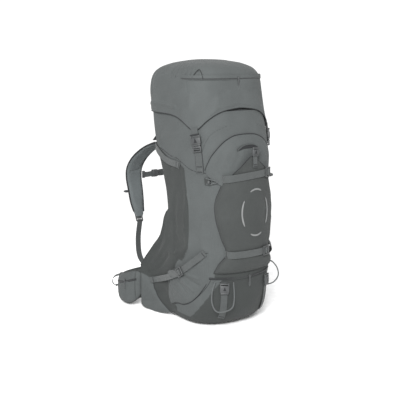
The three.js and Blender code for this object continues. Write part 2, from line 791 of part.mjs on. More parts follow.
function addBottomZip() {
  const z = PANEL_MID + 2;
  add("bottom_zip_track", zipTrack(BAG, -140, -40, z), ZIP);
  add("bottom_zip_slider", zipSlider(BAG, z), PLASTIC);
}

addBagPanels();
addBase();
addCollar();
addFrame();
addDivider();
addBackFoam();
addLumbarPad();
addHaulLoop();
addDomePanel();
addStretchPocket();
addFrontStraps();
addPocketClosure();
addTieOffs();
addPadStraps();
addAxeLoops();
addSidePockets();
addSideStraps();
addZips();
addBottomZip();
addLid();
addLidBuckles();
addYoke();
addShoulderStraps();
addHarnessWebbing();
addSternumStrap();
addWings();
addBeltPockets();
addBeltWebbing();

export default group;
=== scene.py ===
"""Looks of the hiking backpack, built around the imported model: +Z up, front towards -Y."""

import math

import bmesh
import bpy
import numpy as np
from mathutils import Matrix, Vector


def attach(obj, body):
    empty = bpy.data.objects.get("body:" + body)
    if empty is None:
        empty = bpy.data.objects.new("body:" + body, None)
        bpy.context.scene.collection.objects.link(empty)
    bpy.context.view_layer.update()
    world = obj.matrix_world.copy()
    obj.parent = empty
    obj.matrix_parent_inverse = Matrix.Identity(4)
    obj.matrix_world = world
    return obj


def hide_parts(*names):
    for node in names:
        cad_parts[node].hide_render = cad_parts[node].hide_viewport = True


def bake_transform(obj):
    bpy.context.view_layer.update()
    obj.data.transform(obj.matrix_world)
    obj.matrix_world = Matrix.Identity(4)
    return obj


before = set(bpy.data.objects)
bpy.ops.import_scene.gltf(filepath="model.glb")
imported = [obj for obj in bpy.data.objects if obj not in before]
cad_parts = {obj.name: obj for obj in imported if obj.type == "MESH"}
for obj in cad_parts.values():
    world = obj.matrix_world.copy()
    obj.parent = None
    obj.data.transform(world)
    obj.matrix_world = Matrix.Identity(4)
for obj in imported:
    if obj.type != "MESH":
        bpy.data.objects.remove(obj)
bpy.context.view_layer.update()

MM = 0.001
SIDES = {"left": -1, "right": 1}

# ---- sections of the bag, lid and collar, in millimetres, and other driving sizes ----
BAG = dict(
    z=[0, 12, 60, 150, 250, 350, 440, 530, 600, 650, 700],
    half_width=[112, 128, 137, 142, 141, 140, 141, 143, 143, 142, 141],
    front=[-152, -200, -236, -246, -248, -247, -243, -233, -212, -196, -184],
    rear=[-20, -10, -6, -4, -8, -12, 8, 42, 60, 66, 70],
    squareness=[2.4, 2.4, 2.4, 2.3, 2.2, 2.1, 2.1, 2.6, 3, 3, 3],
    rear_squareness=5,
    corner=14,
)
LID = dict(
    z=[575, 600, 650, 700, 740, 765, 780, 788],
    half_width=[148, 148, 148, 149, 144, 126, 92, 50],
    front=[-228, -219, -203, -191, -184, -166, -130, -84],
    rear=[117, 117, 117, 117, 110, 88, 50, 8],
    squareness=[3.3, 3.3, 3.1, 3, 3, 3, 3, 2.8],
    rear_squareness=3,
)
COLLAR = dict(
    z=[640, 665, 694],
    half_width=[141, 128, 96],
    front=[-198, -176, -140],
    rear=[64, 48, 18],
    squareness=[3, 2.6, 2.3],
    rear_squareness=3,
)
LID_LOW = 634
LID_FLOOR = 703
LID_SHOULDER = 742
LID_TOP = 788
LID_UPRIGHT = 0.62  # the share of the lid's cloth that stands below its shoulder
LID_ZIP = 737
LID_BUCKLE = -31  # degrees
BOTTOM_ZIP = 162
POCKET_FLOOR = 178
POCKET_FACE = 19.8
LOWER_STRAP_LIFT = 21.5
HIP_HALF_WIDTH = 142
# the hip wing's arc round the wearer: its centre, its radius and its end angles
WING = dict(x=46, y=165, radius=130, root=-45, tip=22.6)


# ---- curves and surfaces ----
def along(stations, values, at):
    """Smooth curve through a table of values, held flat beyond its ends."""
    x = np.asarray(stations, float)
    y = np.asarray(values, float)
    at = np.clip(np.asarray(at, float), x[0], x[-1])
    i = np.clip(np.searchsorted(x, at, side="right") - 1, 0, len(x) - 2)
    slope = np.empty_like(y)
    slope[1:-1] = (y[2:] - y[:-2]) / (x[2:] - x[:-2])
    slope[0] = (y[1] - y[0]) / (x[1] - x[0])
    slope[-1] = (y[-1] - y[-2]) / (x[-1] - x[-2])
    step = x[i + 1] - x[i]
    s = (at - x[i]) / step
    return (
        (2 * s**3 - 3 * s**2 + 1) * y[i]
        + (s**3 - 2 * s**2 + s) * step * slope[i]
        + (3 * s**2 - 2 * s**3) * y[i + 1]
        + (s**3 - s**2) * step * slope[i + 1]
    )


def smooth(low, high, value):
    """0 below low, 1 above high, and a smooth rise between."""
    s = np.clip((np.asarray(value, float) - low) / (high - low), 0, 1)
    return s * s * (3 - 2 * s)


def at_height(section, key, z):
    return along(section["z"], section[key], z)


def wall(section, angle, z, offset=0.0):
    """Points on a section's wall, in millimetres. Angle 0 is +X, 90 the rear, -90 the front, 180 is -X."""
    angle, z, offset = np.broadcast_arrays(
        np.asarray(angle, float), np.asarray(z, float), np.asarray(offset, float)
    )
    half_width, front, rear, front_power = [
        at_height(section, key, z) for key in ("half_width", "front", "rear", "squareness")
    ]
    centre = rear - 0.4 * (rear - front)

    def plan(a):
        c, s = np.cos(a), np.sin(a)
        power = np.where(s > 0, section["rear_squareness"], front_power)
        reach = np.where(s > 0, rear - centre, centre - front)
        u, v = np.abs(c) ** (2 / power), np.abs(s) ** (2 / power)
        if "corner" in section:
            corner = section["corner"]
            square = (u**corner + v**corner) ** (-1 / corner)
            u, v = np.where(s > 0, (u * square, v * square), (u, v))
        return half_width * np.sign(c) * u, centre + reach * np.sign(s) * v

    a = np.radians(angle)
    x, y = plan(a)
    x0, y0 = plan(a - 0.002)
    x1, y1 = plan(a + 0.002)
    run = np.hypot(x1 - x0, y1 - y0) + 1e-9
    return np.stack([x + offset * (y1 - y0) / run, y - offset * (x1 - x0) / run, z], -1)


def signed_power(value, power):
    """A sine or cosine made squarer by a power below 1, with its sign kept."""
    return np.sign(value) * np.abs(value) ** power


def rise(distance, width):
    """0 at an edge, rounding up to 1 at the width given."""
    share = np.clip(distance / width, 0, 1)
    return np.sqrt(share * (2 - share))


def from_edge(share):
    """How far a share from 0 to 1 is from its nearer end."""
    return np.minimum(share, 1 - share)


def grid(columns, rows, left=0):
    """Coordinates u, from left to 1 along the rows, and v, from 0 to 1 up the columns."""
    return np.meshgrid(np.linspace(left, 1, columns), np.linspace(0, 1, rows))


def from_front(angle):
    """Degrees between an angle and the front centre, 0 to 180."""
    return np.abs((np.asarray(angle, float) + 270) % 360 - 180)


def curve(points, count):
    """A smooth curve through points, at even spacing."""
    points = np.asarray(points, float)
    keys = np.arange(len(points))
    fine = np.linspace(0, len(points) - 1, 40 * len(points))
    line = np.stack([along(keys, points[:, k], fine) for k in range(points.shape[1])], -1)
    if points.shape[1] == 3:
        length = np.concatenate([[0], np.cumsum(np.linalg.norm(np.diff(line, axis=0), axis=1))])
    else:
        length = fine
    even = np.linspace(0, length[-1], count)
    return np.stack([np.interp(even, length, line[:, k]) for k in range(points.shape[1])], -1)


# ---- materials ----
def node_maker(material):
    tree = material.node_tree

    def make(kind, inputs=None, **settings):
        node = tree.nodes.new(kind)
        for key, value in settings.items():
            setattr(node, key, value)
        for key, value in (inputs or {}).items():
            if isinstance(value, bpy.types.NodeSocket):
                tree.links.new(value, node.inputs[key])
            else:
                node.inputs[key].default_value = value
        return node

    return make


def compute(make, operation, *values):
    return make("ShaderNodeMath", dict(enumerate(values)), operation=operation).outputs[0]


def noise(make, vector, scale, detail):
    return make("ShaderNodeTexNoise", {"Vector": vector, "Scale": scale, "Detail": detail}).outputs["Fac"]


def remap(make, value, low, high, start=0.0, end=1.0):
    """A value that ran from start to end, now from low to high."""
    inputs = {"Value": value, "From Min": start, "From Max": end, "To Min": low, "To Max": high}
    return make("ShaderNodeMapRange", inputs).outputs[0]


def scaled(make, colour, factor):
    return make("ShaderNodeVectorMath", {0: colour, "Scale": factor}, operation="SCALE").outputs[0]


def ramp(make, value, low, low_colour, high, high_colour):
    """Colour that goes from one to another as the value goes from low to high."""
    node = make("ShaderNodeValToRGB", {"Fac": value})
    for element, position, colour in zip(node.color_ramp.elements, (low, high), (low_colour, high_colour)):
        element.position = position
        element.color = (*colour, 1)
    return node.outputs["Color"]


def weave_height(make, vector, pitch):
    """Over-and-under threads in any direction, from the sines of the three coordinates."""
    wave = make("ShaderNodeVectorMath", {0: vector, 1: (2 * math.pi / pitch,) * 3}, operation="MULTIPLY")
    parts = make("ShaderNodeSeparateXYZ", {0: wave.outputs[0]})
    sines = [compute(make, "SINE", parts.outputs[k]) for k in range(3)]
    pairs = [compute(make, "MULTIPLY", sines[a], sines[b]) for a, b in ((0, 1), (1, 2), (2, 0))]
    return compute(make, "ADD", compute(make, "ADD", pairs[0], pairs[1]), pairs[2])


def new_material(name, roughness, sheen=0.0):
    """A new material, a maker of nodes for it, and its object and cloth coordinates."""
    material = bpy.data.materials.new(name)
    material.use_nodes = True
    shader = material.node_tree.nodes["Principled BSDF"]
    shader.inputs["Roughness"].default_value = roughness
    shader.inputs["Sheen Weight"].default_value = sheen
    shader.inputs["Sheen Roughness"].default_value = 0.5
    shader.inputs["Specular IOR Level"].default_value = 0.5 if roughness < 0.7 else 0.25
    make = node_maker(material)
    where = make("ShaderNodeTexCoord").outputs
    return material, make, where["Object"], where["UV"]


def finish_material(material, make, colour, height, strength, distance):
    """Connects the colour, and the height as a bump, to the material's shader."""
    bump = make("ShaderNodeBump", {"Height": height, "Strength": strength, "Distance": distance})
    shader = material.node_tree.nodes["Principled BSDF"]
    material.node_tree.links.new(colour, shader.inputs["Base Color"])
    material.node_tree.links.new(bump.outputs[0], shader.inputs["Normal"])
    return material


def cloth_material(name, colour, roughness=0.82, pitch=0.0011, depth=0.25):
    """Woven fabric: thread-scale bump, slow colour variation, and colour paler where the weave and fuzz
    stand high: painted shade in the hollows between threads.
    """
    material, make, place, _ = new_material(name, roughness, sheen=0.04)
    weave = weave_height(make, place, pitch)
    fuzz = noise(make, place, 420.0, 2.0)
    dark, light = [[part * share for part in colour] for share in (0.92, 1.08)]
    cloud = ramp(make, noise(make, place, 14.0, 4.0), 0.3, dark, 0.7, light)
    # painted shade: the colour follows the heights of the weave and the fuzz, darker in their hollows
    thread = remap(make, weave, 0.9, 1.06, -1.5, 1.5)
    grain = remap(make, fuzz, 0.93, 1.05, 0.3, 0.7)
    tint = scaled(make, cloud, compute(make, "MULTIPLY", thread, grain))
    return finish_material(material, make, tint, compute(make, "ADD", weave, fuzz), depth, 0.0004)


def moulded_material(name, colour, roughness=0.45):
    """Moulded plastic: fine spark-eroded grain and slightly uneven gloss."""
    material, make, place, _ = new_material(name, roughness)
    cloud = noise(make, place, 40.0, 2.0)
    gloss = remap(make, cloud, roughness - 0.1, roughness + 0.14)
    shader = material.node_tree.nodes["Principled BSDF"]
    material.node_tree.links.new(gloss, shader.inputs["Roughness"])
    tint = scaled(make, colour, remap(make, cloud, 0.88, 1.12))
    return finish_material(material, make, tint, noise(make, place, 900.0, 3.0), 0.15, 0.0003)


def ribbed_material(name, colour, pitch=0.0022):
    """Woven webbing: ribs across the strap and a finer twill over them, from the strap's own lengths."""
    material, make, place, lengths = new_material(name, 0.74, sheen=0.1)
    parts = make("ShaderNodeSeparateXYZ", {0: lengths}).outputs
    turns = 2 * math.pi / pitch
    rib = compute(make, "SINE", compute(make, "MULTIPLY", parts[0], turns))
    thread = compute(make, "SINE", compute(make, "MULTIPLY", parts[1], turns * 1.6))
    height = compute(make, "MULTIPLY", rib, thread)
    shade = remap(make, height, 0.86, 1.08, -1.0)
    patch = remap(make, noise(make, place, 60.0, 3.0), 0.88, 1.12)
    tint = scaled(make, colour, compute(make, "MULTIPLY", shade, patch))
    return finish_material(material, make, tint, height, 0.5, 0.0004)


def mesh_material(name, colour):
    """Spacer mesh: small round holes, painted darker the deeper they are, as shade in the recesses."""
    material, make, place, _ = new_material(name, 0.9, sheen=0.2)
    cells = make("ShaderNodeTexVoronoi", {"Vector": place, "Scale": 330.0, "Randomness": 0.6})
    depth = cells.outputs["Distance"]
    # painted shade: the colour darkens towards the holes' centres, where the bump is deepest
    tint = ramp(make, depth, 0.2, [part * 0.45 for part in colour], 0.42, colour)
    return finish_material(material, make, tint, depth, 0.5, 0.0008)


CLOTH = cloth_material("pack_cloth", (0.050, 0.055, 0.055))
# dark cloth of the door, the base, the pads and the trims, also given to the bag's sides and the hip-belt
# fairings as painted shade
DARK_CLOTH_AND_SHADE = cloth_material("dark_cloth_and_shade", (0.0245, 0.0272, 0.0265), pitch=0.0014)
LINING = cloth_material("lining_cloth", (0.026, 0.028, 0.029), roughness=0.75)
STRETCH = cloth_material("stretch_cloth", (0.029, 0.0317, 0.031), pitch=0.0016, depth=0.35)
# dark tape for bindings, bartacks, zip tapes and loops, also used as painted shade: the stash opening, the
# strip under the lid webbing, the gap above the lid sockets, and the shadow gaps along seams and edges
BINDING_AND_SHADE = cloth_material("binding_tape_and_shade", (0.012, 0.013, 0.014), pitch=0.0009)
WEBBING = ribbed_material("webbing", (0.043, 0.047, 0.047))
EDGE_BAND = cloth_material("edge_band", (0.072, 0.081, 0.083), pitch=0.0012)
MESH = mesh_material("spacer_mesh", (0.034, 0.037, 0.038))
CORD = ribbed_material("cord_sheath", (0.060, 0.065, 0.066), pitch=0.003)
PLASTIC = moulded_material("moulded_plastic", (0.030, 0.032, 0.033))
ZIP = ribbed_material("zip_coil", (0.016, 0.017, 0.018), pitch=0.002)
PRINT = moulded_material("reflective_print", (0.115, 0.118, 0.118), 0.5)
WIRE = moulded_material("alloy_wire", (0.6, 0.62, 0.63), 0.35)
FLOOR = moulded_material("floor", (0.86, 0.86, 0.86), 0.8)


# ---- shapes: points in millimetres, faces, cloth lengths and a material ----
def skin(points, faces, material, uv=None, choose=None):
    """One closed shape. A list of materials goes with choose, each face's place in that list."""
    points = np.asarray(points, float)
    faces = [tuple(int(i) for i in face) for face in faces]
    uv = np.zeros((len(points), 2)) if uv is None else np.asarray(uv, float)
    materials = material if isinstance(material, list) else [material]
    choose = [0] * len(faces) if choose is None else [int(i) for i in choose]
    return dict(points=points, faces=faces, uv=uv, materials=materials, choose=choose)


def grid_faces(rows, columns, wrap=False):
    """Quads between neighbouring points of a grid; wrap joins the last column to the first."""
    across = columns if wrap else columns - 1
    j, i = np.meshgrid(np.arange(rows - 1), np.arange(across), indexing="ij")
    right = (i + 1) % columns
    corners = [j * columns + i, j * columns + right, (j + 1) * columns + right, (j + 1) * columns + i]
    return np.stack(corners, -1).reshape(-1, 4)


def grid_uv(points):
    """Lengths along the rows and columns of a grid of points."""
    across = np.linalg.norm(np.diff(points, axis=1), axis=2).mean(0)
    up = np.linalg.norm(np.diff(points, axis=0), axis=2).mean(1)
    u, v = np.meshgrid(np.concatenate([[0], np.cumsum(across)]), np.concatenate([[0], np.cumsum(up)]))
    return np.stack([u, v], -1).reshape(-1, 2)


def sheet_between(outer, inner, material):
    """Closed cloth between two grids of points with the same rows and columns."""
    rows, columns = outer.shape[:2]
    front = grid_faces(rows, columns)
    size = rows * columns
    index = np.arange(size).reshape(rows, columns)
    rim = np.concatenate([index[0, :-1], index[:-1, -1], index[-1, :0:-1], index[:0:-1, 0]])
    after = np.roll(rim, -1)
    edge = np.stack([rim, after, after + size, rim + size], -1)
    faces = np.concatenate([front, front[:, ::-1] + size, edge])
    points = np.concatenate([outer.reshape(-1, 3), inner.reshape(-1, 3)])
    return skin(points, faces, material, np.concatenate([grid_uv(outer)] * 2))


def loft(rings, material, choose=None):
    """Closed skin over rings of points, with its two ends capped."""
    rings = np.asarray(rings, float)
    rows, columns = rings.shape[:2]
    faces = grid_faces(rows, columns, wrap=True).tolist()
    hub = rows * columns
    last = hub - columns
    for i in range(columns):
        right = (i + 1) % columns
        faces.append((right, i, hub))
        faces.append((last + i, last + right, hub + 1))
    points = np.concatenate([rings.reshape(-1, 3), [rings[0].mean(0)], [rings[-1].mean(0)]])
    uv = np.concatenate([grid_uv(rings), [[0, 0], [0, 0]]])
    return skin(points, faces, material, uv, choose)


def hoop(rings, material):
    """Closed skin over rings of points whose last ring joins the first."""
    rows, columns = rings.shape[:2]
    faces = grid_faces(rows + 1, columns, wrap=True) % (rows * columns)
    return skin(rings.reshape(-1, 3), faces, material, grid_uv(rings))


def unit(vectors):
    vectors = np.asarray(vectors, float)
    return vectors / np.maximum(np.linalg.norm(vectors, axis=-1, keepdims=True), 1e-9)


def frames(line, out):
    """Sideways and outward directions along a line, from rough outward directions."""
    run = unit(np.gradient(line, axis=0))
    across = unit(np.cross(run, np.broadcast_to(out, line.shape)))
    return across, np.cross(across, run)


def ribbon(line, out, width, material=None, thickness=1.6, crown=0.0):
    """Flat strap along a line of points; width is one number or one for each point."""
    across, lift = frames(line, out)
    half = np.broadcast_to(width, len(line))[:, None] / 2
    upper = [(1, 0), (0.93, 1), (0.4, 1), (0, 1), (-0.4, 1), (-0.93, 1)]
    outline = [(-1, 0), (-0.93, -1), (0, -1), (0.93, -1), *upper]
    rings = [
        line + across * half * w + lift * (thickness / 2 * h + crown * (1 - w * w))
        for w, h in outline
    ]
    return loft(np.stack(rings, 1), material or WEBBING)


def tube(line, radius, material, sides=8, closed=False):
    """Round cord or piping along a line of points."""
    line = np.asarray(line, float)
    run = np.roll(line, -1, 0) - np.roll(line, 1, 0) if closed else np.gradient(line, axis=0)
    run = unit(run)
    side = np.cross(run[0], (0.13, 0.21, 0.97))
    turn = np.linspace(0, 2 * math.pi, sides, endpoint=False)[:, None]
    rings = []
    for point, direction in zip(line, run):
        side = unit(side - direction * (side @ direction))
        other = np.cross(direction, side)
        rings.append(point + radius * (np.cos(turn) * side + np.sin(turn) * other))
    return hoop(np.array(rings), material) if closed else loft(rings, material)


def block(size, at=(0, 0, 0), edge=1.2, material=None):
    """Rounded block, its width across, length along and height out, standing centred on at."""
    width, length, height = size
    edge = min(edge, width / 2.2, length / 2.2, height / 2.2)
    turn = np.radians(np.arange(0, 360, 30) + 15)
    circle = np.stack([np.cos(turn), np.sin(turn)], -1)
    corner = np.sign(circle) * (width / 2 - edge, height / 2 - edge)
    rings = []
    for inward, share in ((0, 0.4), (0.35, 0.8), (1, 1)):
        section = corner + circle * edge * share
        rings.append((length / 2 - edge * inward, section))
    rings = [(-y, section) for y, section in rings] + rings[::-1]
    points = [[(x, y, z + height / 2) for x, z in section] for y, section in rings]
    return loft(np.array(points) + at, material or PLASTIC)


def block_pair(size, x, y, z):
    """Two blocks, x to either side of the middle."""
    return [block(size, (side * x, y, z)) for side in (-1, 1)]


def prism(outline, height, at, material):
    """Flat plate of an outline with one corner after another, standing on at."""
    outline = np.asarray(outline, float)
    low = np.column_stack([outline, np.zeros(len(outline))])
    return loft(np.stack([low, low + (0, 0, height)]) + at, material)


def standing(shapes, origin, out, up):
    """Shapes moved so that they stand on origin, face out and run up."""
    out = unit(out)
    across = unit(np.cross(up, out))
    axes = np.stack([across, np.cross(out, across), out])
    return [dict(one, points=one["points"] @ axes + origin) for one in shapes]


def on_wall(shapes, section, angle, z, lift, toward=None):
    """Shapes moved onto a section's wall, running up or towards another (angle, z)."""
    aim_angle, aim_z = toward or (angle, z + 10)
    origin = wall(section, angle, z, lift)
    out = origin - wall(section, angle, z, lift - 1)
    return standing(shapes, origin, out, wall(section, aim_angle, aim_z, lift) - origin)


def piece(name, shapes, sharp=45):
    """One smooth-shaded object of several shapes."""
    shapes = shapes if isinstance(shapes, list) else [shapes]
    materials, faces, choose, start = [], [], [], 0
    for one in shapes:
        materials += [m for m in one["materials"] if m not in materials]
        faces += [tuple(i + start for i in face) for face in one["faces"]]
        choose += [materials.index(one["materials"][k]) for k in one["choose"]]
        start += len(one["points"])
    points = np.concatenate([one["points"] for one in shapes])
    uv = np.concatenate([one["uv"] for one in shapes])
    mesh = bpy.data.meshes.new(name)
    mesh.from_pydata((points * MM).tolist(), [], faces)
    for material in materials:
        mesh.materials.append(material)
    index = np.empty(len(mesh.loops), int)
    mesh.loops.foreach_get("vertex_index", index)
    mesh.uv_layers.new(name="cloth").data.foreach_set("uv", (uv * MM)[index].ravel())
    mesh.polygons.foreach_set("material_index", choose)
    work = bmesh.new()
    work.from_mesh(mesh)
    bmesh.ops.recalc_face_normals(work, faces=work.faces)
    for face in work.faces:
        face.smooth = True
    for edge in work.edges:
        edge.smooth = edge.is_manifold and edge.calc_face_angle(0) < math.radians(sharp)
    work.to_mesh(mesh)
    work.free()
    made = bpy.data.objects.new(name, mesh)
    bpy.context.scene.collection.objects.link(made)
    return made


def place(made, body, nodes=(), slot=None):
    """A finished piece rides on its body, and stands for the CAD nodes named."""
    nodes = [nodes] if isinstance(nodes, str) else list(nodes)
    if nodes:
        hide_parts(*nodes)
    if body:
        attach(made, body)
    return made


def mirrored(shapes, sign):
    """The shapes as they are for sign 1, and their mirror image for -1."""
    return [dict(one, points=one["points"] * (sign, 1, 1)) for one in shapes]


def place_pair(name, shapes, body, node=None):
    """Places right-hand shapes and their mirror image; body and node may hold {side}."""
    for side, sign in SIDES.items():
        nodes = [node.format(side=side)] if node else []
        place(piece(f"{name}_{side}", mirrored(shapes, sign)), body.format(side=side), nodes)


def twin(made, name):
    """The mirror image of a finished right-hand piece."""
    other = made.copy()
    other.data = made.data.copy()
    other.name = other.data.name = name
    other.data.transform(Matrix.Diagonal((-1, 1, 1, 1)))
    other.data.flip_normals()
    bpy.context.scene.collection.objects.link(other)
    return other


# ---- padding ----
CLOTH_PRESSURE = 4.0
CLOTH_STEPS = 20


def vertices(made):
    co = np.empty(len(made.data.vertices) * 3)
    made.data.vertices.foreach_get("co", co)
    return co.reshape(-1, 3)


def set_vertices(made, co):
    made.data.vertices.foreach_set("co", np.asarray(co).ravel())
    made.data.update()


def normals(made):
    values = np.empty(len(made.data.vertices) * 3)
    made.data.vertices.foreach_get("normal", values)
    return values.reshape(-1, 3)


def apply_modifiers(made):
    bpy.context.view_layer.objects.active = made
    for modifier in list(made.modifiers):
        bpy.ops.object.modifier_apply(modifier=modifier.name)


def inflate(made, cap, voxel=0.0045):
    """Pads a closed piece: even remesh, cloth under pressure, a cap on each move, one subdivision."""
    remesh = made.modifiers.new("even", "REMESH")
    remesh.mode = "VOXEL"
    remesh.voxel_size = voxel
    apply_modifiers(made)
    rest = vertices(made)
    cloth = made.modifiers.new("cloth", "CLOTH")
    cloth.settings.use_pressure = True
    cloth.settings.uniform_pressure_force = CLOTH_PRESSURE
    cloth.settings.effector_weights.gravity = 0
    for step in range(1, CLOTH_STEPS + 1):
        bpy.context.scene.frame_set(step)
    apply_modifiers(made)
    bpy.context.scene.frame_set(1)
    moved = vertices(made) - rest
    far = np.linalg.norm(moved, axis=1)[:, None]
    set_vertices(made, rest + moved * np.minimum(1, cap / np.maximum(far, 1e-9)))
    subdivide = made.modifiers.new("smooth", "SUBSURF")
    subdivide.levels = 1
    apply_modifiers(made)
    made.data.polygons.foreach_set("use_smooth", [True] * len(made.data.polygons))
    return made


def crease(made, strokes):
    """Presses seams into a padded piece, or raises folds on it, along its normals."""
    co = vertices(made) / MM
    set_vertices(made, (co + normals(made) * relief(co, strokes)[:, None]) * MM)


def paint_side(made, direction_at, material):
    """Gives another material to the faces that look along direction_at(face centres)."""
    made.data.materials.append(material)
    count = len(made.data.polygons)
    centre, normal = np.empty(count * 3), np.empty(count * 3)
    made.data.polygons.foreach_get("center", centre)
    made.data.polygons.foreach_get("normal", normal)
    facing = (direction_at(centre.reshape(-1, 3) / MM) * normal.reshape(-1, 3)).sum(1) > 0.15
    made.data.polygons.foreach_set("material_index", facing.astype(int))


# ---- relief of the cloth ----
def stroke(section, path, width, height):
    """A seam or fold along (angle, z) points: its line in space, its width and its height."""
    return wall(section, *curve(path, 8 * len(path)).T), width, height


def strokes_of(section, folds):
    """Strokes for a table of paths with their widths and heights."""
    return [stroke(section, *fold) for fold in folds]


def line_on(section, stations, count):
    """A smooth line through (angle, z, lift) points of a section."""
    return curve([wall(section, *station) for station in stations], count)


def both_sides(path):
    """The path and its mirror image."""
    return [path, [(-180 - angle, z) for angle, z in path]]


def to_line(points, line):
    """Distance from each point to a polyline."""
    best = np.full(len(points), np.inf)
    for a, b in zip(line[:-1], line[1:]):
        run = b - a
        share = np.clip(((points - a) @ run) / max(run @ run, 1e-9), 0, 1)
        best = np.minimum(best, np.linalg.norm(points - a - share[:, None] * run, axis=1))
    return best


def relief(points, strokes):
    """How far each point is pushed out by the strokes near it."""
    flat = points.reshape(-1, 3)
    total = np.zeros(len(flat))
    for line, width, height in strokes:
        low, high = line.min(0) - 3 * width, line.max(0) + 3 * width
        near = np.nonzero(((flat > low) & (flat < high)).all(1))[0]
        if len(near):
            total[near] += height * np.exp(-((to_line(flat[near], line) / width) ** 2))
    return total.reshape(points.shape[:-1])


def lumps(points, size, seed):
    """Soft random relief between -1 and 1, with lumps of about the size given."""
    rng = np.random.default_rng(seed)
    total = np.zeros(points.shape[:-1])
    for _ in range(9):
        direction = unit(rng.normal(size=3))
        pitch = size * rng.uniform(0.7, 1.5)
        total += np.sin(points @ direction * 2 * math.pi / pitch + rng.uniform(0, 7))
    return total / 4.5


# ---- camera, floor and light ----
LENS = 68  # millimetres
CAMERA = dict(distance=2.35, height=0.82, heading=math.radians(36), pitch=math.radians(11.3))
FLOOR_RADIUS = 1400
WORLD_STRENGTH = 1.12
KEY_LIGHT = dict(energy=160, size=0.9, location=Vector((-1.85, -2.0, 1.75)), target=Vector((0, 0, 0.4)))


def add_camera():
    data = bpy.data.cameras.new("camera")
    data.lens = LENS
    made = bpy.data.objects.new("camera", data)
    heading, distance = CAMERA["heading"], CAMERA["distance"]
    made.location = (-distance * math.sin(heading), -distance * math.cos(heading), CAMERA["height"])
    made.rotation_euler = (math.pi / 2 - CAMERA["pitch"], 0, -heading)
    bpy.context.scene.collection.objects.link(made)
    bpy.context.scene.camera = made


def add_key_light():
    data = bpy.data.lights.new("key", "AREA")
    data.energy = KEY_LIGHT["energy"]
    data.size = KEY_LIGHT["size"]
    made = bpy.data.objects.new("key", data)
    made.location = KEY_LIGHT["location"]
    toward = KEY_LIGHT["target"] - KEY_LIGHT["location"]
    made.rotation_euler = toward.to_track_quat("-Z", "Y").to_euler()
    bpy.context.scene.collection.objects.link(made)


def add_studio():
    turn = np.linspace(0, 2 * math.pi, 64, endpoint=False)
    rim = FLOOR_RADIUS * np.stack([np.cos(turn), np.sin(turn), 0 * turn], -1)
    piece("floor", skin(rim, [range(64)], FLOOR))
    world = bpy.data.worlds.new("studio")
    bpy.context.scene.world = world
    world.use_nodes = True
    background = world.node_tree.nodes["Background"]
    background.inputs["Color"].default_value = (1, 1, 1, 1)
    background.inputs["Strength"].default_value = WORLD_STRENGTH
    add_key_light()
    bpy.context.scene.view_settings.view_transform = "Standard"


# ---- cords ----
CORD_RADIUS = 2.0
AXE_LOOPS = {
    "right": [(-48, 186, 6), (-46, 178, 18), (-45, 158, 31), (-46, 136, 34), (-49, 118, 22), (-51, 110, 3)],
    "left": [(-48, 152, 3), (-45, 122, 12), (-46, 88, 20), (-53, 66, 24), (-68, 72, 17), (-72, 100, 8),
             (-71, 150, 3)],
}


def add_axe_loops():
    for side, stations in AXE_LOOPS.items():
        line = line_on(BAG, stations, 40) * (SIDES[side], 1, 1)
        made = piece("ice_axe_cord_" + side, tube(line, CORD_RADIUS, CORD))
        place(made, "bag", "ice_axe_loop_" + side)


# ---- bag ----
CORNER_SEAM = [(-149, 640), (-149, 560), (-150, 480)]
SIDE_SEAM = [(-172, 478), (-172, 396), (-171, 320), (-170, 244)]
YOKE_SEAM = [(-138, 470), (-150, 473), (-163, 480), (-176, 500), (-190, 520), (-215, 532)]
BASE_SEAM = [(-137, 160), (-143, 135), (-156, 100), (-172, 68), (-196, 40)]
ZIP_SEAM = [(-140, 158), (-120, 157), (-90, 156), (-60, 157), (-40, 158)]
PIPED_SEAMS = [*both_sides(YOKE_SEAM), *both_sides(BASE_SEAM), ZIP_SEAM]
PLAIN_SEAMS = [*both_sides(CORNER_SEAM), *both_sides(SIDE_SEAM),
               *both_sides([(-151, 487), (-145, 530), (-136, 564), (-124, 587), (-102, 606)])]
FOLDS = [
    ([(-175, 240), (-190, 205), (-202, 180)], 6, 3.0),
    ([(-172, 225), (-185, 190), (-196, 150)], 6, -2.5),
    ([(-172, 400), (-178, 330), (-172, 250)], 9, 3.0),
    ([(-180, 420), (-188, 340), (-184, 260)], 10, -2.5),
    ([(-176, 300), (-190, 270), (-206, 262)], 7, 2.2),
    ([(-160, 560), (-175, 520), (-186, 470)], 8, -2.0),
    ([(-185, 600), (-200, 560), (-208, 500)], 9, 2.0),
    ([(-166, 600), (-176, 575), (-190, 560)], 8, 1.8),
    ([(-150, 330), (-152, 280), (-146, 230)], 9, 1.6),
]


def bag_strokes():
    """Sunk seams with a soft swell beside them, and the folds on both sides."""
    seams = [stroke(BAG, path, 1.6, -1.5) for path in PIPED_SEAMS + PLAIN_SEAMS]
    swells = [stroke(BAG, path, 8, 1.4) for path in PIPED_SEAMS + PLAIN_SEAMS]
    folds = [(half, *look) for path, *look in FOLDS for half in both_sides(path)]
    return seams + swells + strokes_of(BAG, folds)


BAG_STROKES = bag_strokes()


def bag_surface(angle, z, offset=0.0):
    """The bag's cloth: its wall with seams, folds and a soft unevenness."""
    base = wall(BAG, angle, z)
    push = relief(base, BAG_STROKES) + 1.6 * lumps(base, 150, 3) + 0.6 * lumps(base * (1, 1, 0.6), 55, 8)
    return wall(BAG, angle, z, push * smooth(0, 45, base[..., 2]) + offset - 1.0)


def yoke_height(turn):
    """Height of the seam over the side panels, which are given the dark cloth as painted shade, by the
    angle from the front.
    """
    return along([81, 96, 110, 125, 180], [478, 500, 520, 532, 532], turn)


BAG_PANELS = ["front_panel", "lower_front_door", "side_panel_left", "side_panel_right", "back_fabric",
              "base_panel"]


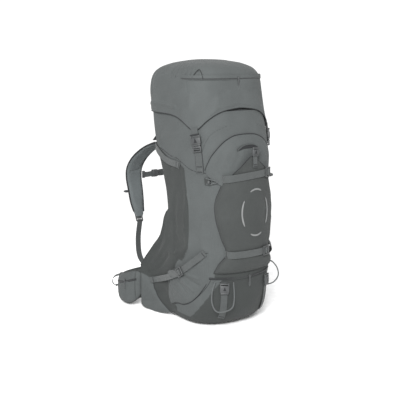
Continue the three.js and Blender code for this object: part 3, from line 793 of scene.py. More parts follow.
def add_bag():
    """The bag's cloth inside and out; the door and the base are in darker cloth, and the sides behind the
    crease are given it too as painted shade.
    """
    columns = 260
    angle = np.linspace(0, 360, columns, endpoint=False)
    heights = np.concatenate([[0, 1, 3, 6, 9], np.arange(12, 648, 3.5)])
    outer = bag_surface(*np.meshgrid(angle, heights))
    foot = outer[0].mean(0)
    base = [foot + (outer[0] - foot) * share for share in (0.02, 0.3, 0.6, 0.85)]
    inner = wall(BAG, *np.meshgrid(angle, np.linspace(645, 8, 20)), -4.0)
    floor = inner[-1].mean(0)
    inside_floor = [floor + (inner[-1] - floor) * share for share in (0.6, 0.02)]
    rings = np.concatenate([base, outer, inner, inside_floor])
    level = np.concatenate([np.zeros(len(base)), heights, np.full(len(inner) + 2, -1)])
    a, z = np.meshgrid(angle, level[:-1])
    turn = from_front(a)
    door = (z < 182) & (turn < np.where(z < 156, 35 + 0.33 * (152 - z), 44))
    # painted shade: the sides and rear behind the crease, up to the yoke seam, are given the dark cloth
    panel = (turn > along([60, 128, 172, 214, 244], [122, 108, 96, 88, 80.5], z)) & (z < yoke_height(turn))
    dark = (z < 26) | door | panel
    choose = np.where(z < 0, 1, np.where(dark, 2, 0))
    shell = loft(rings, [CLOTH, LINING, DARK_CLOTH_AND_SHADE], np.concatenate([choose.ravel(), [2, 1] * columns]))
    place(piece("bag_shell", shell, 70), "bag", BAG_PANELS)


def add_collar():
    angle = np.linspace(0, 360, 160, endpoint=False)
    a, z = np.meshgrid(angle, np.linspace(632, 694, 22))
    wave = 3.0 * smooth(655, 690, z) * np.sin(np.radians(a) * 34) + 1.5 * np.sin(np.radians(a) * 13 + 1)
    wave = wave * smooth(640, 690, z)
    rings = np.concatenate([wall(COLLAR, a, z, wave), wall(COLLAR, a, z, wave - 1.2)[::-1]])
    cord = wall(COLLAR, angle, 688, 2.0 + 3.0 * np.sin(np.radians(angle) * 34))
    lock = on_wall(cord_lock(), COLLAR, -90, 684, 5)
    place(piece("collar_cloth", hoop(rings, LINING)), "bag", "drawcord_collar")
    place(piece("collar_drawcord", [tube(cord, 1.6, CORD, closed=True), *lock]), "bag")


def add_piping():
    """Dark binding where panels of the bag meet and along the dome's top edge, partly real binding and
    partly painted shade for the shadow gaps there; the plain seams get thin dark lines, painted shade of
    their creases.
    """
    angles = np.linspace(-142.5, -37.5, 120)
    shapes = [tube(wall(BAG, angles, dome_top(angles) + 0.5, 1.4), 1.5, BINDING_AND_SHADE)]
    for paths, lift, radius, material in [
        (PIPED_SEAMS, 0.3, 0.9, BINDING_AND_SHADE),
        (PLAIN_SEAMS, 0.1, 0.6, DARK_CLOTH_AND_SHADE),
    ]:
        for path in paths:
            shapes.append(tube(bag_surface(*curve(path, 60).T, lift), radius, material, sides=6))
    place(piece("bag_piping", shapes), "bag")


# ---- front: dome, stretch pocket and their straps ----
def dome_top(angle):
    """Height of the dome pocket's arched top edge."""
    return along([0, 10, 26, 42, 49, 53], [580, 576, 556, 522, 496, 478], from_front(angle))


def pocket_reach(z):
    """Degrees from the stretch pocket's middle to its side edge."""
    return along([178, 205, 236, 283, 340, 390, 445], [44, 38, 29, 36, 43, 43, 33], z)


def pocket_top(side):
    """Height of the stretch pocket's peaked hem."""
    return along([0, 0.35, 0.65, 1], [520, 492, 472, 446], np.abs(side))


DOME_FOLDS = [
    ([(-118, 500), (-112, 530), (-104, 550)], 8, 1.0), ([(-108, 490), (-100, 520), (-97, 545)], 8, -1.2),
    ([(-66, 500), (-72, 530), (-80, 546)], 7, 1.5), ([(-99, 536), (-90, 547), (-81, 538)], 4, -3.5),
    ([(-102, 546), (-90, 558), (-78, 548)], 6, 1.0), ([(-125, 480), (-128, 505)], 7, 1.2),
]


def add_dome():
    side, v = grid(90, 70, left=-1)
    angle = -90 + 52 * side
    low = 410 + 60 * side**2
    z = low + (dome_top(angle) - low) * v
    base = wall(BAG, angle, z)
    push = 0.8 + 5.0 * rise(1 - v, 0.3) * rise(1 - np.abs(side), 0.24)
    folded = relief(base, strokes_of(BAG, DOME_FOLDS))
    push = push + (folded + 0.6 * lumps(base, 70, 5)) * rise(1 - v, 0.2)
    outer = wall(BAG, angle, z, push)
    inner = wall(BAG, angle, z, np.minimum(push - 1.5, 0.0) - 0.5)
    place(piece("dome_pocket", sheet_between(outer, inner, CLOTH)), "bag", "dome_panel")


def add_stash_opening_shade():
    """Painted shade of the crescent opening over the stretch pocket: a flat dark sheet under a curved welt.
    """
    angle = np.linspace(-100, -77.5, 40)
    share = np.sin(np.linspace(0, math.pi, 40))
    low = 536 + 4 * share
    high = low + 11 * share
    z = low + (high - low) * np.linspace(0, 1, 6)[:, None]
    outer = wall(BAG, np.broadcast_to(angle, z.shape), z, 6.2)
    # painted shade: a flat dark sheet stands for the shadow in the opening
    mouth = sheet_between(outer, outer + (0, 2.5, 0), BINDING_AND_SHADE)
    welt = tube(wall(BAG, angle, high, 6.2), 1.2, CLOTH)
    place(piece("stash_opening_shade", [mouth, welt]), "bag")


def pocket_lift(side, v):
    """How far the stretch pocket's outside stands off the bag."""
    return 2.0 + 15.5 * rise(1 - np.abs(side), 0.3) * rise(v, 0.1)


def pocket_point(side, v, extra=0.0):
    z = POCKET_FLOOR + (pocket_top(side) - POCKET_FLOOR) * v
    return wall(BAG, -90 + side * pocket_reach(z), z, pocket_lift(side, v) + extra)


def pocket_place(angle, z):
    """The pocket's own coordinates of a point on the bag."""
    side = np.clip((angle + 90) / pocket_reach(z), -1, 1)
    v = np.clip((z - POCKET_FLOOR) / (pocket_top(side) - POCKET_FLOOR), 0, 1)
    return side, v


def over_pocket(angle, z):
    """Height of a strap lying over the pocket."""
    return np.maximum(pocket_lift(*pocket_place(angle, z)) + 2.4, 4.0)


def add_stretch_pocket():
    side, v = grid(110, 120, left=-1)
    base = pocket_point(side, v)
    z = base[..., 2]
    nip = -3.0 * np.exp(-(((z - 236) / 16) ** 2)) - 2.4 * np.exp(-(((z - 461) / 13) ** 2))
    loose = smooth(0, 0.2, 1 - np.abs(side))
    push = nip + (0.9 * lumps(base * (1, 1, 0.5), 60, 11) + 0.4 * lumps(base, 25, 12))
    push = push * loose + smooth(0.965, 0.985, v) * 1.2
    outer = pocket_point(side, v, push)
    inner = pocket_point(side, v, np.maximum(push - 1.6, -pocket_lift(side, v) + 0.3))
    place(piece("stretch_pocket_cloth", sheet_between(outer, inner, STRETCH)), "bag", "stretch_pocket")
    # dark binding round the pocket's edges, partly real binding and partly painted shade for the shadow
    # along them
    rim = np.linspace(-1, 1, 90)
    up = np.linspace(0, 1, 80)
    edges = [tube(pocket_point(rim, np.ones(90), 0.8), 1.3, BINDING_AND_SHADE)]
    edges += [tube(pocket_point(np.full(80, end), up, -1.0), 1.5, BINDING_AND_SHADE) for end in (-1.0, 1.0)]
    place(piece("stretch_pocket_binding", edges), "bag")


def add_oval_print():
    """Four plain reflective arcs on the stretch pocket."""
    shapes = []
    for middle, spread in ((0, 34), (90, 26), (180, 34), (270, 26)):
        turn = np.radians(np.linspace(middle - spread, middle + spread, 24))
        x = 8 + 44 * np.cos(turn)
        z = 356 + 68 * np.sin(turn)
        power = at_height(BAG, "squareness", z)
        angle = -np.degrees(np.arccos(signed_power(x / at_height(BAG, "half_width", z), power / 2)))
        lift = pocket_lift(*pocket_place(angle, z)) + 1.3
        line = wall(BAG, angle, z, lift)
        taper = 4.8 * rise(from_edge(np.linspace(0, 1, 24)), 0.25) + 0.3
        shapes.append(ribbon(line, line - wall(BAG, angle, z, lift - 5), taper, PRINT, 0.8))
    place(piece("reflective_arcs", shapes), "bag")


def strap_line(path, lift, count=50, section=BAG):
    """A strap's middle line on a wall, and its outward directions."""
    angle, z = curve(path, count).T
    height = lift(angle, z) if callable(lift) else np.full(count, float(lift))
    line = wall(section, angle, z, height)
    return line, line - wall(section, angle, z, height - 5)


def bartack(line, out, index, width):
    """Dense stitching across a strap."""
    up = line[min(index + 1, len(line) - 1)] - line[max(index - 1, 0)]
    stitches = block((width * 0.8, 2.4, 1.3), edge=0.5, material=BINDING_AND_SHADE)
    return standing([stitches], line[index], out[index], up)


def stitched_strap(path, lift, width, tacks):
    """Webbing along (angle, z) points of the bag, with bartacks at the steps named."""
    line, out = strap_line(path, lift)
    shapes = [ribbon(line, out, width)]
    for index in tacks:
        shapes += bartack(line, out, index, width)
    return shapes


def ladder_lock(width):
    """Webbing adjuster: two side rails with three bars, and the webbing wrapped over the middle one."""
    rails = block_pair((3.6, 26, 4.6), width / 2 + 1.4, 0, 0)
    bars = [block((width + 4, 4.2, 4.2), (0, y, 0.2)) for y in (-10.5, 10.5)]
    wrap = block((width - 3, 9, 5.4), (0, 0, 0.4), 2.0, WEBBING)
    tab = block((width + 2, 3, 1.6), (0, 13, 3.2), 0.7)
    return rails + bars + [wrap, tab]


def buckle_socket(width, length, height):
    """Receiving half of a side-release buckle, with a three-cornered window and open sides."""
    shell = block((width, length * 0.62, height), (0, -length * 0.02, 0), 2.0)
    mouth = block((width * 0.86, length * 0.16, height * 0.86), (0, -length * 0.4, height * 0.07), 1.5)
    rails = block_pair((4, length * 0.34, height * 0.7), width / 2 - 2.2, length * 0.36, height * 0.15)
    bar = block((width - 1, 4.2, 4.4), (0, length * 0.44, height * 0.2))
    half = width * 0.17
    window = prism([(-half, -half), (half, -half), (0, half * 1.5)], 0.5, (0, 0, height - 0.15), BINDING_AND_SHADE)
    ridges = [block((width * 0.7, 1.3, 0.7), (0, -length * at, height - 0.25), 0.3) for at in (0.23, 0.29)]
    return [shell, mouth, bar, window, *rails, *ridges]


def buckle_plug(width, height):
    """Plug half: a ladder for the webbing and two sprung prongs with a tongue between them."""
    body = block((width * 0.96, 6, height), (0, 4, 0), 1.6)
    bars = [block((width, 3.4, height * 0.75), (0, y, height * 0.1)) for y in (-2, -8.5)]
    rails = block_pair((3.4, 15, height * 0.8), width / 2 - 1.7, -2.5, height * 0.1)
    prongs = block_pair((4.4, 13, height * 0.7), width / 2 - 4.5, 11, height * 0.15)
    tongue = block((5, 12, height * 0.4), (0, 11, height * 0.3), 0.8)
    return [body, tongue, *bars, *rails, *prongs]


def cord_lock():
    """Barrel cord lock with its sprung button."""
    turn = np.radians(np.arange(0, 360, 22.5))
    profile = [(3.0, 0), (4.6, 1), (5.2, 5), (4.8, 11), (3.4, 12), (3.2, 15), (2.0, 16)]
    rings = [[(r * math.cos(t) * 1.15, r * math.sin(t) * 0.85, z) for t in turn] for r, z in profile]
    return [loft(rings, PLASTIC)]


def add_front_straps():
    for name, path in {
        "upper_front_strap": [(-126, 455), (-110, 460), (-90, 465), (-70, 468)],
        "lower_front_strap": [(-121, 236), (-105, 236), (-90, 236), (-74, 236)],
    }.items():
        shapes = stitched_strap(path, over_pocket, 21, (2, 47))
        angle, z = path[-1]
        shapes += on_wall(ladder_lock(22), BAG, angle, z, over_pocket(angle, z) - 0.8, (angle - 6, z))
        tail, out = strap_line([(angle, z), (angle + 4, z), (angle + 9, z - 1)], over_pocket, 24)
        shapes.append(ribbon(tail, out, 20))
        place(piece(name + "_webbing", shapes), "bag", name)


def add_pocket_closure():
    angle, face = -88.5, POCKET_FACE + 2.4
    shapes = stitched_strap([(angle, 487), (angle, 512), (angle, 541)], face, 15, (3, 8))
    shapes += on_wall(buckle_socket(24, 26, 6), BAG, angle, 531, face)
    place(piece("pocket_closure_buckle", shapes), "bag", "pocket_closure", "plastic")


def add_tie_offs():
    loop = [(-38, 441, 3), (-42, 441, 6), (-50, 446, 8), (-51, 450, 8), (-43, 455, 6), (-38, 457, 3)]
    shapes = [tube(line_on(BAG, loop, 30), 1.5, CORD), *on_wall(cord_lock(), BAG, -42, 448, 4, (-32, 448))]
    shapes += on_wall([block((16, 20, 1.8), edge=0.8, material=DARK_CLOTH_AND_SHADE)], BAG, -39, 448, 1.2)
    place_pair("bungee_tie_off_cord", shapes, "bag", "bungee_tie_off_{side}")


# ---- lid ----
LID_FOLDS = [
    ([(-150, 700), (-152, 735)], 2.0, -1.2),
    ([(-200, 765), (-202, 740), (-200, 700)], 9, 3.0), ([(-188, 772), (-190, 745), (-189, 705)], 8, 2.6),
    ([(-170, 655), (-185, 664), (-205, 658)], 7, 3.0), ([(-160, 636), (-150, 655), (-146, 690)], 9, 2.4),
    ([(-120, 640), (-112, 665), (-110, 690)], 10, 1.8), ([(-100, 700), (-112, 690), (-122, 668)], 9, -1.6),
]
for step in range(8):
    lean = -182 + 6.5 * step
    LID_FOLDS.append(([(lean, 778), (lean + 2, 764), (lean + 1, 750 - 5 * (step % 3))], 2.6, -3.0))


def lid_edge(angle):
    """Height of the lid's lower edge: high at the front, down in two points at the buckles."""
    stations = [0, 19, 38, 55, 61, 80, 100, 180]
    return along(stations, [654, 643, 621, 594, 592, 628, LID_LOW, LID_LOW], from_front(angle))


def lid_surface(angle, v, offset=0.0):
    """The lid's cloth from its edge, v = 0, over its shoulder to the rim of its top, v = 1."""
    low = lid_edge(angle)
    share = np.clip(v / LID_UPRIGHT, 0, 1)
    crown = np.clip((v - LID_UPRIGHT) / (1 - LID_UPRIGHT), 0, 1)
    over = LID_SHOULDER + (LID_TOP - LID_SHOULDER) * np.sin(crown * math.pi / 2) ** 0.9
    z = np.where(v < LID_UPRIGHT, low + (LID_SHOULDER - low) * share, over)
    return wall(LID, angle, np.minimum(z, LID_TOP), offset), crown


def lid_hem(angle):
    """How far the lid's hem curls in, over the front only."""
    return 3.0 * (1 - smooth(25, 50, from_front(angle)))


def add_lid():
    angle = np.linspace(0, 360, 360, endpoint=False)
    a, v = np.meshgrid(angle, np.linspace(0, 1, 100))
    base, crown = lid_surface(a, v)
    folds = [(half, *look) for path, *look in LID_FOLDS for half in both_sides(path)]
    groove = ([(angle, LID_ZIP) for angle in (-158, -125, -90, -55, -22)], 2.0, -1.6)
    strokes = strokes_of(LID, [*folds, groove])
    push = relief(base, strokes) + 1.5 * lumps(base, 120, 21) + 0.7 * lumps(base, 48, 22)
    hem = lid_hem(a) * (1 - smooth(0, 0.1, v))
    outer, crown = lid_surface(a, v, push * smooth(0, 0.05, v) * (1 - 0.5 * crown) - 1.0 - hem)
    rim = outer[-1]
    middle = rim.mean(0) + (0, 0, 3)
    cap = []
    for share in (0.03, 0.2, 0.4, 0.6, 0.8):
        ring = middle + (rim - middle) * share
        ring[:, 2] = LID_TOP + 2.6 * (1 - share**2) + 0.9 * lumps(ring, 70, 23) * (1 - share)
        cap.append(ring)
    rows = v[::6]
    under, _ = lid_surface(a[::6], rows, -3.4 - hem[::6])
    under[:, :, 2] -= 3.0 * smooth(0.6, 0.9, rows)
    ceiling = under[-1].mean(0)
    close = [ceiling + (under[-1] - ceiling) * share for share in (0.5, 0.03)]
    rings = np.concatenate([cap, outer[::-1], under, close])
    levels = len(rings) - 1
    inside = np.arange(levels)[:, None] >= len(cap) + len(outer) - 1
    choose = np.broadcast_to(inside, (levels, len(angle))).astype(int).ravel()
    shell = loft(rings, [CLOTH, LINING], np.concatenate([choose, [0, 1] * len(angle)]))
    place(piece("lid_cloth", shell, 70), "lid", ["lid_hood", "lid_skirt"])
    # dark binding round the lid's edge, partly real binding and partly painted shade for the gap under the
    # lid
    edge = wall(LID, angle, lid_edge(angle), -1.2 - lid_hem(angle))
    place(piece("lid_binding", tube(edge, 1.1, BINDING_AND_SHADE, closed=True)), "lid")


def add_lid_floor():
    angle = np.linspace(0, 360, 120, endpoint=False)
    rim = wall(LID, angle, LID_FLOOR, -3.6)
    middle = rim.mean(0)
    shares = np.array([0.02, 0.2, 0.4, 0.6, 0.8, 0.95, 1.0])
    under = np.array([middle + (rim - middle) * share for share in shares])
    under[..., 2] += 0.7 * lumps(under, 60, 41) * (1 - shares[:, None])
    rings = np.concatenate([under, (under + (0, 0, 1.6))[::-1]])
    place(piece("lid_lining", loft(rings, LINING)), "lid", "lid_floor")


def zip_line(line, out, tape, coil):
    """Closed zip: two cloth tapes and the coil between them."""
    across, lift = frames(line, out)
    tapes = [ribbon(line + across * side * tape / 3.4, out, tape / 2, BINDING_AND_SHADE, 0.8) for side in (-1, 1)]
    return [*tapes, ribbon(line + lift * 0.5, out, coil, ZIP, 1.4, crown=0.5)]


def zip_slider():
    """Slider with its bridge, pull tab and cord loop, hanging down."""
    body = block((7, 10, 3), (0, 0, 0), 1.2)
    bridge = block((2.4, 7, 1.6), (0, 0, 2.6), 0.7)
    tab = block((5, 16, 1.6), (0, -11, 1.8), 0.7)
    loop = curve([(-1.6, -18, 2.4), (-2.2, -26, 2.2), (0, -31, 2), (2.2, -26, 2.2), (1.6, -18, 2.4)], 20)
    return [body, bridge, tab, tube(loop, 0.9, CORD, 6)]


def flap_lift(angle, z):
    """Height of the zip flap off the lid, going under the cloth at its ends."""
    return 1.5 - 3.2 * smooth(54, 70, from_front(angle))


def zip_lift(angle, z):
    """Height of the lid's zip, under its flap."""
    return flap_lift(angle, z) - 1.3


def add_zips():
    stations = (-160, -125, -90, -55, -20)
    line, out = strap_line([(angle, LID_ZIP) for angle in stations], zip_lift, 90, LID)
    flap, flap_out = strap_line([(angle, LID_ZIP + 3) for angle in stations], flap_lift, 90, LID)
    shapes = zip_line(line, out, 7.0, 3.0) + [ribbon(flap, flap_out, 14, CLOTH, 1.0, crown=0.6)]
    loop = [(-143, 741, 3), (-138, 757, 5), (-134, 763, 6), (-130, 752, 5), (-128, 738, 3)]
    shapes.append(tube(line_on(LID, loop, 30), 1.0, BINDING_AND_SHADE, 6))
    place(piece("lid_zip_coil", shapes), "lid", "lid_zip_track", "zip")
    pull = on_wall(zip_slider(), LID, -90, LID_ZIP, 2.0)
    place(piece("lid_zip_pull", pull), "lid_slider", "lid_zip_slider")
    line, out = strap_line([(angle, BOTTOM_ZIP) for angle in (-140, -115, -90, -65, -40)], 0.8, 90)
    place(piece("bottom_zip_coil", zip_line(line, out, 5.0, 2.2)), "bag", "bottom_zip_track", "zip")
    pull = on_wall(zip_slider(), BAG, -90, BOTTOM_ZIP, 2.2)
    place(piece("bottom_zip_pull", pull), "bottom_slider", "bottom_zip_slider")


def add_lid_buckles():
    path = [(LID_BUCKLE, 470), (LID_BUCKLE, 505), (LID_BUCKLE, 549)]
    # painted shadow: a dark strip a little wider than the webbing lies under it, so dark edges show along
    # the strap
    edge, shadow_strip_out = strap_line(path, 0.6, 30)
    strap = stitched_strap(path, 1.4, 22, (3, 14)) + [ribbon(edge, shadow_strip_out, 25, BINDING_AND_SHADE, 0.8)]
    place_pair("lid_webbing", strap, "bag", "lid_strap_{side}")
    plug = on_wall(buckle_plug(28, 6), BAG, LID_BUCKLE, 542, 3.0)
    place_pair("lid_plug", plug, "lid_plug_{side}", "lid_buckle_plug_{side}")
    socket = on_wall(buckle_socket(32, 30, 8), BAG, LID_BUCKLE, 564, 2.4)
    # painted shade: a dark block for the gap at the top of the socket
    socket += on_wall([block((30, 4, 3), edge=0.8, material=BINDING_AND_SHADE)], BAG, LID_BUCKLE, 581, 8.0)
    tab, out = strap_line([(LID_BUCKLE, 570), (LID_BUCKLE, 584), (LID_BUCKLE, 600)], 7.0, 20)
    place_pair("lid_socket", socket + [ribbon(tab, out, 22)], "lid", "lid_buckle_socket_{side}")


# ---- sides ----
def pocket_base(angle):
    """Height of the side pocket's lower seam, curving down from the zip to the base."""
    return along([-40, -36, -24, -8, 16, 36], [157, 138, 100, 68, 44, 36], angle)


def pocket_mouth(angle):
    """Height of the side pocket's top edge, along the upper edge of the strap across it."""
    return along([-40, -34, -14, 4, 36], [238, 234, 201, 166, 132], angle)


SIDE_POCKET_FOLDS = [
    ([(-4, 182), (-14, 168), (-26, 158)], 4, 3.6), ([(-4, 172), (-14, 154), (-27, 138)], 4, -3.6),
    ([(-2, 166), (-8, 142), (-20, 118)], 4, 3.4), ([(2, 160), (-2, 136), (-12, 104)], 4, -3.0),
    ([(8, 150), (6, 124), (-2, 96)], 5, 3.0), ([(16, 130), (12, 104), (6, 84)], 5, -2.4),
    ([(-30, 205), (-18, 192), (-8, 184)], 5, 2.6),
]


def add_side_pockets():
    u, v = grid(80, 70)
    angle = -40 + 76 * u
    low = pocket_base(angle) + 2
    z = low + (pocket_mouth(angle) - low) * v
    full = smooth(0, 0.34, u) * smooth(0.04, 0.48, 1 - u)
    sunk = 3.5 * (1 - smooth(0, 0.1, u) * smooth(0, 0.06, 1 - u))
    lift = 1.0 - sunk + 15.5 * full * rise(v, 0.45) * (0.55 + 0.45 * v)
    base = wall(BAG, angle, z)
    push = relief(base, strokes_of(BAG, SIDE_POCKET_FOLDS)) + 1.4 * lumps(base, 60, 31)
    lift = np.minimum(lift + push * smooth(0, 0.2, u) * smooth(0, 0.12, 1 - u), 18.5)
    outer = wall(BAG, angle, z, lift)
    inner = wall(BAG, angle, z, lift - 1.4)
    hem = tube(outer[-1] + (0, 0, 0.4), 1.0, DARK_CLOTH_AND_SHADE)
    seam = tube(outer[0], 1.2, BINDING_AND_SHADE, 6)
    shapes = [sheet_between(outer, inner, CLOTH), hem, seam]
    place_pair("side_pocket_cloth", shapes, "bag", "side_pocket_{side}")


def lower_strap_lift(angle, z):
    """Height of the lower side strap off the bag: sewn down at its front end, over the pocket behind."""
    return 3.0 + (LOWER_STRAP_LIFT - 3.0) * smooth(-37, -21, angle)


def add_side_straps():
    upper = stitched_strap([(-4, 485), (20, 505), (44, 534)], 2.6, 20, (1, 4))
    place_pair("upper_side_webbing", upper, "bag", "upper_side_strap_{side}")
    lower = stitched_strap([(-34, 238), (-14, 190), (4, 152)], lower_strap_lift, 19, (2,))
    lower += on_wall(ladder_lock(22), BAG, -6, 172, LOWER_STRAP_LIFT + 1, (-18, 200))
    place_pair("lower_side_webbing", lower, "bag", "lower_side_strap_{side}")


def add_pad_straps():
    angle = -60
    shapes = stitched_strap([(angle, 151), (angle, 100), (angle, 35)], 1.6, 20, (2, 47))
    shapes += on_wall(buckle_socket(28, 34, 6), BAG, angle, 132, 3.0)
    place_pair("pad_webbing", shapes, "bag", "sleeping_pad_strap_{side}")


# ---- hip belt ----
def wing_top(angle):
    """Height of the hip wing's upper edge."""
    return along([-45, -34, 2, 23], [150, 139, 106, 96], angle)


def wing_low(angle):
    """Height of the hip wing's lower edge."""
    return np.maximum(0, along([-45, -34, -14, 2, 23], [62, 34, 5, -2, 16], angle))


def wing(angle, z, offset):
    """Points on the hip wing's arc round the wearer's side."""
    angle, z, offset = np.broadcast_arrays(np.asarray(angle, float), z, offset)
    reach = WING["radius"] + offset
    turn = np.radians(angle)
    return np.stack([WING["x"] + reach * np.cos(turn), WING["y"] + reach * np.sin(turn), z], -1)


def add_wings():
    stations = np.linspace(WING["root"], WING["tip"], 40)
    angle, turn = np.meshgrid(stations, np.radians(np.arange(0, 360, 12)), indexing="ij")
    low, high = wing_low(angle) + 2.5, wing_top(angle) - 2.5
    up = signed_power(np.sin(turn), 0.5)
    out = signed_power(np.cos(turn), 0.7)
    z = (low + high) / 2 + (high - low) / 2 * up
    right = piece("hip_wing_pad_right", loft(wing(angle, z, 7.5 * out), MESH))
    inflate(right, cap=0.004)
    middle = np.array([WING["x"], WING["y"], 0])
    paint_side(right, lambda centre: unit((centre - middle) * (1, 1, 0)), DARK_CLOTH_AND_SHADE)
    left = twin(right, "hip_wing_pad_left")
    for side, made in (("right", right), ("left", left)):
        place(made, "wing_" + side, "hip_wing_" + side, "spacer_mesh")


def belt_pocket_angle(u):
    return -31 + 47 * u


def pocket_skin(u, v, extra=0.0):
    """The hip-belt pocket's outside: a full rounded form on the wing."""
    angle = belt_pocket_angle(u)
    narrow = 0.16 * np.abs(2 * u - 1) ** 5
    z = wing_low(angle) + 5 + (wing_top(angle) - wing_low(angle) - 9) * (narrow + (1 - 2 * narrow) * v)
    full = rise(from_edge(u), 0.34) * rise(from_edge(v), 0.4)
    return wing(angle, z, 11 + 13 * full + extra)


def add_belt_pockets():
    u, v = grid(60, 50)
    base = pocket_skin(u, v)
    push = 1.0 * lumps(base, 55, 51) + 0.5 * lumps(base, 22, 52)
    outer = pocket_skin(u, v, push * rise(np.minimum(from_edge(u), from_edge(v)), 0.15))
    inner = wing(belt_pocket_angle(u), base[..., 2], 10.4)
    rim = np.concatenate([outer[0], outer[1:, -1], outer[-1, -2::-1], outer[-2:0:-1, 0]])
    zip_u = np.linspace(0.1, 0.9, 50)
    line = pocket_skin(zip_u, np.full(50, 0.72), 0.3)
    out = (line - (WING["x"], WING["y"], 0)) * (1, 1, 0)
    seam = [pocket_skin(np.full(40, at), np.linspace(0, 1, 40), 0.2) for at in (0.14, 0.84)]
    shapes = [sheet_between(outer, inner, CLOTH), tube(rim, 1.1, DARK_CLOTH_AND_SHADE, closed=True)]
    shapes += zip_line(line, out, 6.0, 3.0) + [tube(one, 0.8, DARK_CLOTH_AND_SHADE, 6) for one in seam]
    place_pair("belt_pocket_cloth", shapes, "wing_{side}", "belt_pocket_{side}")
    middle = -9
    facing = wing(middle, 0, 1) - wing(middle, 0, 0)
    pull = standing(zip_slider(), wing(middle, 86, 24.0), facing, (0, 0, 1))
    place_pair("belt_zip_pull", pull, "belt_slider_{side}", "belt_zip_slider_{side}")


def add_belt_webbing():
    z = 62
    points = [(x, y, z) for x, y in [(164, 222), (139, 246), (100, 258), (60, 262), (30, 262)]]
    line = curve(points, 40)
    out = np.cross(np.gradient(line, axis=0), (0, 0, 1))
    web = [ribbon(line, out, 36, thickness=2.0), *bartack(line, out, 3, 36)]
    tail = curve([(172, 217, 84), (186, 232, 74), (190, 238, 56), (182, 230, 44), (170, 219, 50)], 24)
    web.append(ribbon(tail, (0.8, 0.6, 0), 10, thickness=1.4))
    halves = {"right": buckle_socket(46, 26, 9), "left": buckle_plug(42, 8)}
    for side, sign in SIDES.items():
        clip = standing(halves[side], np.array([sign * 27, 257, z]), (0, 1, 0), (-sign, 0, 0))
        strap = piece("belt_strap_" + side, mirrored(web, sign) + clip)
        place(strap, "wing_" + side, "belt_webbing_" + side)


def fairing_line(u, z):
    """Plan line from the bag's side, u = 0, out to the hip-belt wing, u = 1."""
    x = along([0, 0.3, 0.55, 0.75, 0.9, 1], [143, 143.5, 144.5, 147.5, 156, 167], u)
    y = along([0, 0.3, 0.55, 0.75, 0.9, 1], [-74, -30, 12, 54, 76, 92.5], u)
    narrow = at_height(BAG, "half_width", z) - HIP_HALF_WIDTH
    return x + narrow * (1 - smooth(0.2, 0.7, u)) - 3.5 * (1 - smooth(0, 0.14, u)), y


FAIRING_FOLDS = [(curve(path, 20), width, height) for path, width, height in [
    ([(142, -20, 240), (146, 20, 190), (150, 60, 150)], 8, 3.4),
    ([(142, -30, 200), (146, 20, 150), (152, 70, 120)], 7, -3.4),
    ([(142, -10, 80), (146, 20, 70), (148, 36, 66)], 8, -2.6),
    ([(142, -10, 290), (144, 10, 230), (147, 50, 195)], 7, -2.2),
    ([(150, 60, 70), (156, 78, 50), (162, 88, 46)], 7, 2.6),
    ([(146, 30, 40), (152, 60, 30), (160, 85, 26)], 7, -2.4),
]]


def fairing_top(y):
    """Height of the fairing's upper edge, falling from the bag to the hip belt."""
    return along([-74, -30, -10, 0, 11, 46, 77, 93], [320, 345, 318, 284, 255, 218, 175, 144], y)


def fairing_low(y):
    return along([-74, 0, 46, 80, 93], [30, 5, 2, 6, 16], y)


def belt_seam(z):
    """Where the hip belt's own cloth starts, towards the rear of the fairing."""
    return along([3, 20, 64, 99], [-34, -19, 36, 51], z)


def fairing_point(u, v, extra=0.0):
    """The fairing's outside from its lower edge, v = 0, to its top edge."""
    _, y = fairing_line(u, 100)
    top = fairing_top(y)
    low = fairing_low(y)
    z = low + (top - low) * v
    x, y = fairing_line(u, z)
    x = x - 3 * smooth(0.9, 1, v) * (1 - smooth(-30, 0, y))
    base = np.stack([x, y, z], -1)
    ahead, _ = fairing_line(u + 0.01, z)
    side = unit(np.stack([fairing_line(u + 0.01, z)[1] - y, x - ahead, np.zeros_like(x)], -1))
    inside = np.minimum(y - belt_seam(z), along([51, 93], [101, 120], y) - z)
    push = (relief(base, FAIRING_FOLDS) + 1.5 * lumps(base, 60, 61)) * rise(u, 0.2) * rise(1 - u, 0.1)
    push = push + 7 * rise(inside, 26) * rise(1 - u, 0.12)
    return base + side * (push + extra)[..., None], side, inside


def add_fairings():
    """Cloth that carries the bag's side out to the hip belt."""
    u, v = grid(110, 120)
    outer, side, inside = fairing_point(u, v)
    # painted shade: the fairing is in the dark cloth like the bag's shaded sides; only the hip belt's own
    # cloth behind its seam is in the plain cloth
    cloth = sheet_between(outer, outer - side * 2.2, [DARK_CLOTH_AND_SHADE, CLOTH])
    middle = inside[:-1, :-1].ravel() > 0
    cloth["choose"] = [*middle.astype(int)] + [0] * (len(cloth["faces"]) - len(middle))
    heights = np.linspace(4, 99, 40)
    seam_u = np.interp(belt_seam(heights), fairing_line(u[0], 100)[1], u[0])
    low = fairing_low(belt_seam(heights))
    top = fairing_top(belt_seam(heights))
    seam, _, _ = fairing_point(seam_u, (heights - low) / (top - low), 0.6)
    on_bag = [wall(BAG, -2, 164, LOWER_STRAP_LIFT), wall(BAG, 10, 138, 18)]
    on_belt, facing, _ = fairing_point(np.array([0.6, 0.77]), np.array([0.455, 0.49]), 4.0)
    belt = curve(np.array([*on_bag, *on_belt]), 40)
    out = curve(np.array([(1, -0.2, 0.1), (1, -0.1, 0.1), *facing]), 40)
    shapes = [cloth, tube(outer[-1, 40:], 1.3, DARK_CLOTH_AND_SHADE), tube(seam, 1.0, BINDING_AND_SHADE, 6)]
    shapes += [ribbon(belt, out, 19), *bartack(belt, out, 36, 19)]
    for name, sign in SIDES.items():
        made = place(piece("belt_fairing_" + name, mirrored(shapes, sign)), None)
        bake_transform(made)


# ---- back and harness ----
def rear_at(z):
    """How far back the bag's rear wall is."""
    return at_height(BAG, "rear", z)


